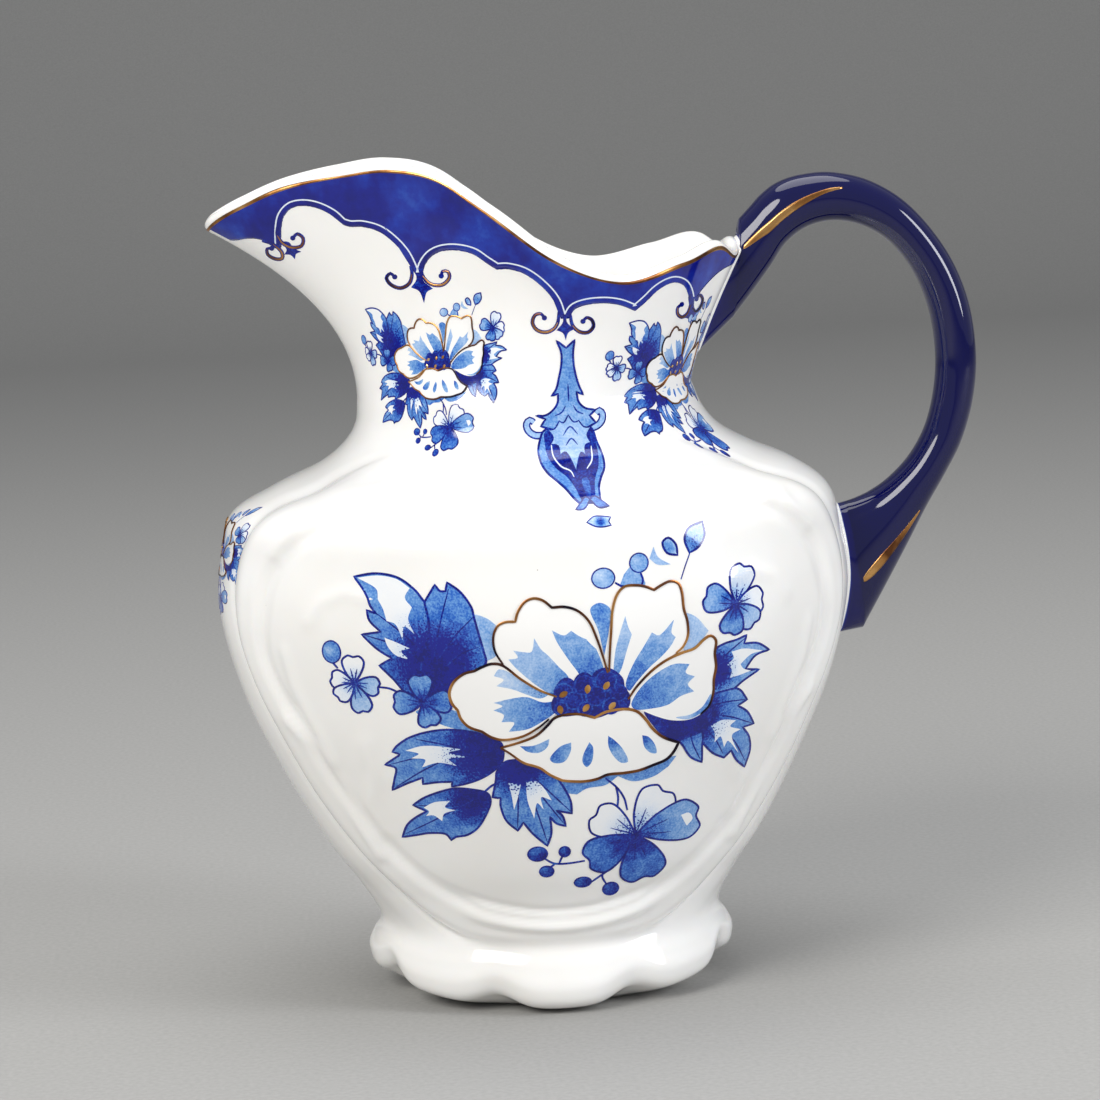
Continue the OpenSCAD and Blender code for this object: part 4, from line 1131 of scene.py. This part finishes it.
# %% Border glaze
def border_cobalt():
    material, tree, shader = new_material("sponged_cobalt_border")
    place = glaze_waves(tree, shader, 0.3)
    cloud = add_node(tree, "ShaderNodeTexNoise", links={"Vector": place}, Scale=95.0, Detail=7.0,
                     Roughness=0.62)
    colour = ramp(tree, cloud.outputs["Fac"],
                  [(0.32, "#050C6E"), (0.47, "#081585"), (0.6, "#0E31A2"), (0.74, "#2A5ABE")])
    worn = add_node(tree, "ShaderNodeTexNoise", links={"Vector": place}, Scale=60.0, Detail=3.0)
    veil = ramp(tree, worn.outputs["Fac"], [(0.56, "#000000"), (0.72, "#8C8C8C")])
    pale = add_node(tree, "ShaderNodeMix", {"data_type": "RGBA"}, {0: veil, 6: colour})
    pale.inputs[7].default_value = linear("#2E3590")
    tree.links.new(pale.outputs[2], shader.inputs["Base Color"])
    glass_coat(shader)
    return material


BORDER = border_cobalt()

# %% Border mesh
COLUMNS, CLIMB = 900, 15
turns = np.arange(COLUMNS) * 360 / COLUMNS
climb = np.linspace(RIM_ROW, NECK_ROW + 0.1, 500)
sheet = wall_point(turns[:, None], climb[None, :])
white = sheet[..., 2] < np.interp(sheet[..., 0], lower_edge[:, 0], lower_edge[:, 1])
start_row = climb[np.argmax(white, axis=1)]
rows_up = start_row + (RIM_ROW + 0.08 - start_row) * np.linspace(0, 1, CLIMB)[:, None]
border_top = [skin(turns, s, FILM_BASE) for s in rows_up]
border_bed = [skin(turns, s, FILM_BED) for s in rows_up[::-1]]
border_faces = grid_faces(2 * CLIMB, COLUMNS)
last = (2 * CLIMB - 1) * COLUMNS
border_faces += [(last + j, last + (j + 1) % COLUMNS, (j + 1) % COLUMNS, j) for j in range(COLUMNS)]
make_piece("rim_border_cobalt", np.vstack(border_top + border_bed), border_faces, BORDER)
print("the border reaches", round(float(lower_edge[:, 1].min()), 1), "mm above the table")

# %% [markdown]
# ### Scrolls and the pendant
# Where two scallops meet, a pair of C-scrolls turns outwards over a little spade. Below the
# middle pair hangs a pendant: a stem that spreads into acanthus leaves over a dark bulb. These
# are printed lines and fills, with brown gold touched into the scrolls.

# %% Scrolls and spades
SCROLLS = [
    [(-50.6, 152.6), (-48.4, 151.8), (-46.9, 150.2), (-46.9, 148.9), (-48.2, 148.8),
     (-49.6, 149.7), (-49.7, 150.9), (-48.8, 151)],
    [(-47.5, 155.2), (-47.6, 153.6), (-46.6, 152), (-44.9, 151.1), (-43, 151.4), (-42.6, 152.9),
     (-43.7, 153.8), (-44.6, 153)],
    [(-22.3, 147), (-22.1, 145.4), (-22.7, 143.6), (-24.4, 142.7), (-26.2, 143.4), (-27, 144.7),
     (-26.2, 145.6), (-25.4, 144.9)],
    [(-20.3, 147), (-20.1, 145), (-18.7, 143.4), (-16.5, 143.2), (-15.1, 144.5), (-15.3, 145.7),
     (-16.3, 145.8), (-16.6, 144.9)],
    [(5.2, 137.4), (4.9, 135.3), (4.1, 134.1), (2.5, 133.5), (0.8, 134.1), (0.1, 135.5),
     (0.7, 136.9), (1.8, 137.1), (2.4, 136.3)],
    [(7.3, 136.8), (7.7, 134.6), (9, 133.3), (10.6, 133.1), (11.7, 134.2), (11.4, 135.5),
     (10.4, 136), (9.7, 135.3)],
    [(31.8, 138.4), (31.9, 136.4), (31.2, 134.8), (30, 134.2), (29, 135), (29, 136.3),
     (29.9, 136.8)],
    [(32.5, 138), (32.4, 135.8), (33.2, 134.8), (34.3, 135.6), (34.8, 137), (34.1, 138.1),
     (33.3, 137.4)]]
SPADES = [
    [(-46.8, 152.2), (-45.9, 150.7), (-46.4, 149.7, 1), (-45.2, 149.6), (-44.4, 148.7, 1),
     (-44.1, 149.8), (-43.1, 150.2, 1), (-44.6, 151), (-45.4, 152.2)],
    [(-21.7, 147), (-21.3, 144.4), (-22.4, 142.8, 1), (-20.9, 142), (-20.1, 139.7, 1),
     (-19.5, 141.8), (-18.3, 142.5, 1), (-20.1, 144.2), (-20.4, 147)],
    [(5.8, 138), (5.9, 135.4), (4.6, 133.8, 1), (5.8, 133.2), (6.3, 131.8, 1), (6.8, 133.2),
     (8, 133.9, 1), (6.6, 135.4), (6.7, 138)],
    [(31.4, 138.4), (31.6, 135.4), (30.5, 134, 1), (31.5, 133.6), (32, 132.4, 1), (32.5, 133.6),
     (33.4, 134.2, 1), (32.4, 135.4), (32.6, 138.4)]]
SCROLL_W, SCROLL_GOLD_W, BULB_R = 0.75, 0.38, 0.5


def print_scrolls(name, place):
    film, gold = Film(), Film()
    for line in scallop_lines[1:-1]:
        film_line(film, moved_aside(line, HAIRLINE_IN)[2:-2], HAIRLINE_W, place, 2, tone=0.12)
    for line in SPADES:
        film_fill(film, line, place, 1, (0.92, 0.92, (0, 0), 1), 0.0)
    for points in SCROLLS:
        film_line(film, points, SCROLL_W, place, 3, tone=0.98, taper=0.35)
        bulb = [(points[-1][0] + BULB_R * math.cos(t), points[-1][1] + BULB_R * math.sin(t))
                for t in np.arange(8) * math.pi / 4]
        film_fill(film, bulb, place, 4, (0.98, 0.98, (0, 0), 1), 0.0)
        film_line(gold, points[1:-1], SCROLL_GOLD_W, place, 6, taper=0.8, height=0.03)
    film.finish(name + "_transfer", PRINT, "cobalt_porcelain")
    gold.finish(name + "_gilding", BROWN_GOLD, "gilding")


FRONT_SIDE = placement(270, (0, 0))
BACK_SIDE = placement(90, (0, 0), (-1.0, 1.0))
print_scrolls("front_scrolls", FRONT_SIDE)
print_scrolls("back_scrolls", BACK_SIDE)

# %% The pendant
def print_pendant(name, place):
    film = Film()
    pale, deep = (0.5, 0.4, (6.3, 118), 9), (0.9, 1.0, (6, 108), 6)

    def outlined(shape, level, shade, width=0.42):
        film_fill(film, shape, place, level, shade, 0.0)
        film_line(film, shape, width, place, level + 1, 0.93, True)

    for hook in [[(1.8, 114.2), (0.4, 113.9), (-0.9, 114.1), (-1.9, 115), (-2.1, 116.2),
                  (-1.4, 116.9), (-0.7, 116.4)],
                 [(10, 114.6), (11.4, 114.9), (12.5, 115.8), (12.8, 117), (12.2, 117.8),
                  (11.5, 117.3)]]:
        film_line(film, hook, 1.5, place, 0, 0.93, taper=0.2)
        film_line(film, hook, 0.9, place, 1, 0.34, taper=0.3)
    outlined([(1.2, 114.8), (0.2, 113), (-0.3, 111), (0, 109), (1, 107.3), (2.5, 106), (4, 104.6),
              (5.3, 103), (6.2, 102.2, 1), (10.2, 102.2, 1), (10.3, 104.5), (11, 106), (12, 107.6),
              (12, 109.6), (11.2, 112), (10.2, 114.8), (6, 115.6)], 2, pale)
    film_fill(film, [(1.4, 114.6), (1.1, 112), (1.5, 109.8), (2.8, 107.9), (4.6, 106.4), (5.8, 104.6),
                     (6.9, 102.4), (9.1, 102.4), (9.5, 104.6), (9.9, 106), (10.9, 107.9),
                     (11.2, 110), (10.9, 112.4), (10.2, 114.6), (6, 115)], place, 4, deep, 0.0)
    film_line(film, [(2.3, 112.4), (2.5, 110), (3.8, 108.2), (5.4, 107.4), (5.9, 106.4)], 0.28,
              place, 5, 0.12, taper=0.6)
    film_line(film, [(10, 111.4), (9.8, 109), (8.6, 107.6)], 0.28, place, 5, 0.12, taper=0.6)
    film_fill(film, [(7.3, 106), (7.5, 104), (8, 102.6), (8.6, 104), (8.5, 106)], place, 5,
              (0.68, 0.68, (0, 0), 1), 0.0)
    outlined([(4.5, 131.8, 1), (6.3, 130.3, 1), (8, 131.8, 1), (7.6, 129.5), (7.6, 127),
              (8, 124.5), (8.5, 122.7), (9.2, 121.1, 1), (7.9, 121.7, 1), (8.2, 119.8),
              (9.4, 118.5), (11.4, 118, 1), (10.2, 117, 1), (11.3, 115.6, 1), (9.6, 114.8),
              (8, 114.6), (6.3, 116.6, 1), (4.6, 114.6), (3, 114.8), (0.6, 115.6, 1),
              (1.6, 116.9, 1), (-0.2, 117.7, 1), (1.5, 117.6), (3, 118.4), (4.1, 119.8),
              (4.3, 121.6, 1), (3, 121.2, 1), (4, 122.5), (4.6, 124.5), (5.2, 127),
              (5.3, 129.5)], 6, pale)
    outlined([(6, 117.4, 1), (5, 116), (4.2, 116.4, 1), (3.2, 115), (2, 114.8, 1), (2.8, 113.4),
              (2.2, 112.2, 1), (3.6, 111.8), (3.8, 110.2, 1), (5, 110.6), (6.5, 107.3, 1),
              (7.9, 110.4), (8.7, 109.9, 1), (8.9, 111.6), (10, 112, 1), (9.4, 113.4),
              (10.2, 114.8, 1), (8.9, 115), (8, 116.2, 1), (7, 116)], 8,
             (0.36, 0.28, (6, 112), 5), 0.28)
    for vein in [[(4.7, 113.6), (6.2, 115.2), (7.6, 113.7)], [(5.1, 111.8), (6.3, 113), (7.4, 111.8)],
                 [(6.3, 120), (6.3, 123.4)], [(3.4, 117.4), (4.8, 118), (5.6, 119.2)],
                 [(9, 117.4), (7.8, 118), (7.1, 119.2)]]:
        film_line(film, vein, 0.3, place, 10, 0.85, taper=0.8)
    for foot in [[(8.2, 102.7, 1), (6.9, 101.3), (5.2, 101.2, 1), (6.4, 102.3), (7.4, 103.2)],
                 [(8.2, 102.7, 1), (9.7, 101.3), (11.7, 101.4, 1), (10.4, 102.4), (9.2, 103.2)]]:
        outlined(foot, 7, (0.6, 0.5, (8, 102), 3), 0.26)
    outlined([(7, 99, 1), (8.5, 99.9), (10.4, 99.8), (11.7, 99.6, 1), (11.2, 98.9), (11.6, 98.2, 1),
              (10, 98), (8.6, 98.2)], 2, (0.3, 0.95, (9.6, 99), 1.4), 0.24)
    film.finish(name + "_transfer", PRINT, "cobalt_porcelain")


print_pendant("front_pendant", FRONT_SIDE)
print_pendant("back_pendant", BACK_SIDE)

# %% [markdown]
# ## The studio
# A glossy white piece is lit by what it reflects. One wide softbox stands high on the left and
# gives the soft window on the shoulder, a strip on the right draws the thin line along the handle,
# and a weak light from above fills the shadows. The floor and the wall behind are one pale sweep.

# %% Floor and backdrop
def sweep_material():
    material, tree, shader = new_material("pale_paper_sweep")
    place = add_node(tree, "ShaderNodeTexCoord").outputs["Object"]
    grain = add_node(tree, "ShaderNodeTexNoise", links={"Vector": place}, Scale=900.0, Detail=2.0)
    tone = ramp(tree, grain.outputs["Fac"], [(0.3, "#A09F9C"), (0.7, "#A9A8A5")])
    tree.links.new(tone, shader.inputs["Base Color"])
    shader.inputs["Roughness"].default_value = 0.85
    return material


SWEEP_HALF, SWEEP_FRONT, SWEEP_BACK, SWEEP_TOP, BEND = 2.4, -2.4, 2.2, 2.0, 0.6
outline = [(SWEEP_FRONT, 0.0), (SWEEP_BACK - BEND, 0.0)]
outline += [(SWEEP_BACK - BEND + BEND * math.sin(t), BEND - BEND * math.cos(t))
            for t in np.linspace(0, math.pi / 2, 13)[1:]]
outline.append((SWEEP_BACK, SWEEP_TOP))
sweep_mesh = bpy.data.meshes.new("floor_sweep")
sweep_mesh.from_pydata([(x, y, z) for y, z in outline for x in (-SWEEP_HALF, SWEEP_HALF)], [],
                       [(2 * i, 2 * i + 1, 2 * i + 3, 2 * i + 2) for i in range(len(outline) - 1)])
sweep_mesh.polygons.foreach_set("use_smooth", [True] * len(sweep_mesh.polygons))
sweep_mesh.materials.append(sweep_material())
floor = bpy.data.objects.new("floor_sweep", sweep_mesh)
bpy.context.scene.collection.objects.link(floor)

# %% Lights
def softbox(name, place, target, size, watts, colour="#FFFFFF"):
    lamp = bpy.data.lights.new(name, "AREA")
    lamp.shape = "ELLIPSE"
    lamp.size, lamp.size_y = size
    lamp.energy = watts
    lamp.color = linear(colour)[:3]
    light = bpy.data.objects.new(name, lamp)
    light.location = place
    light.rotation_euler = (Vector(target) - Vector(place)).to_track_quat("-Z", "Y").to_euler()
    bpy.context.scene.collection.objects.link(light)


AIM = (0.0, 0.0, 0.09)
softbox("key_softbox", (-0.7, -0.85, 0.8), AIM, (0.75, 0.65), 11.5, "#FFFDFA")
softbox("strip_right", (0.85, -0.5, 0.45), AIM, (0.3, 0.6), 5.5, "#F8FAFF")
softbox("top_fill", (0.0, 0.1, 1.1), AIM, (0.9, 0.9), 5.8)
world = bpy.data.worlds.new("studio_air")
world.use_nodes = True
world.node_tree.nodes["Background"].inputs["Color"].default_value = linear("#E9ECF2")
world.node_tree.nodes["Background"].inputs["Strength"].default_value = 0.45
bpy.context.scene.world = world
bpy.context.scene.view_settings.view_transform = "Standard"

# %% [markdown]
# ## The camera
# A long lens a little above the belly, turned 4 degrees towards the spout. It is also rolled by
# nearly 3 degrees, so the jug leans in the frame the way it does in a hand-held shot.

# %% Camera
LENS_MM, SENSOR_MM = 130.9, 36.0
AZIMUTH, PITCH, ROLL = math.radians(4.0), math.radians(7.6), math.radians(-2.8)
DISTANCE, AIM_POINT = 0.806, Vector((0.0036, 0.0, 0.087))
forward = Vector((math.sin(AZIMUTH) * math.cos(PITCH), math.cos(AZIMUTH) * math.cos(PITCH),
                  -math.sin(PITCH)))
right = Vector((math.cos(AZIMUTH), -math.sin(AZIMUTH), 0))
upward = right.cross(forward)
camera_right = right * math.cos(ROLL) + upward * math.sin(ROLL)
camera_up = upward * math.cos(ROLL) - right * math.sin(ROLL)
lens = bpy.data.cameras.new("camera")
lens.lens, lens.sensor_width = LENS_MM, SENSOR_MM
camera = bpy.data.objects.new("camera", lens)
camera.matrix_world = Matrix.Translation(AIM_POINT - forward * DISTANCE) @ Matrix(
    (camera_right, camera_up, -forward)).transposed().to_4x4()
bpy.context.scene.collection.objects.link(camera)
bpy.context.scene.camera = camera
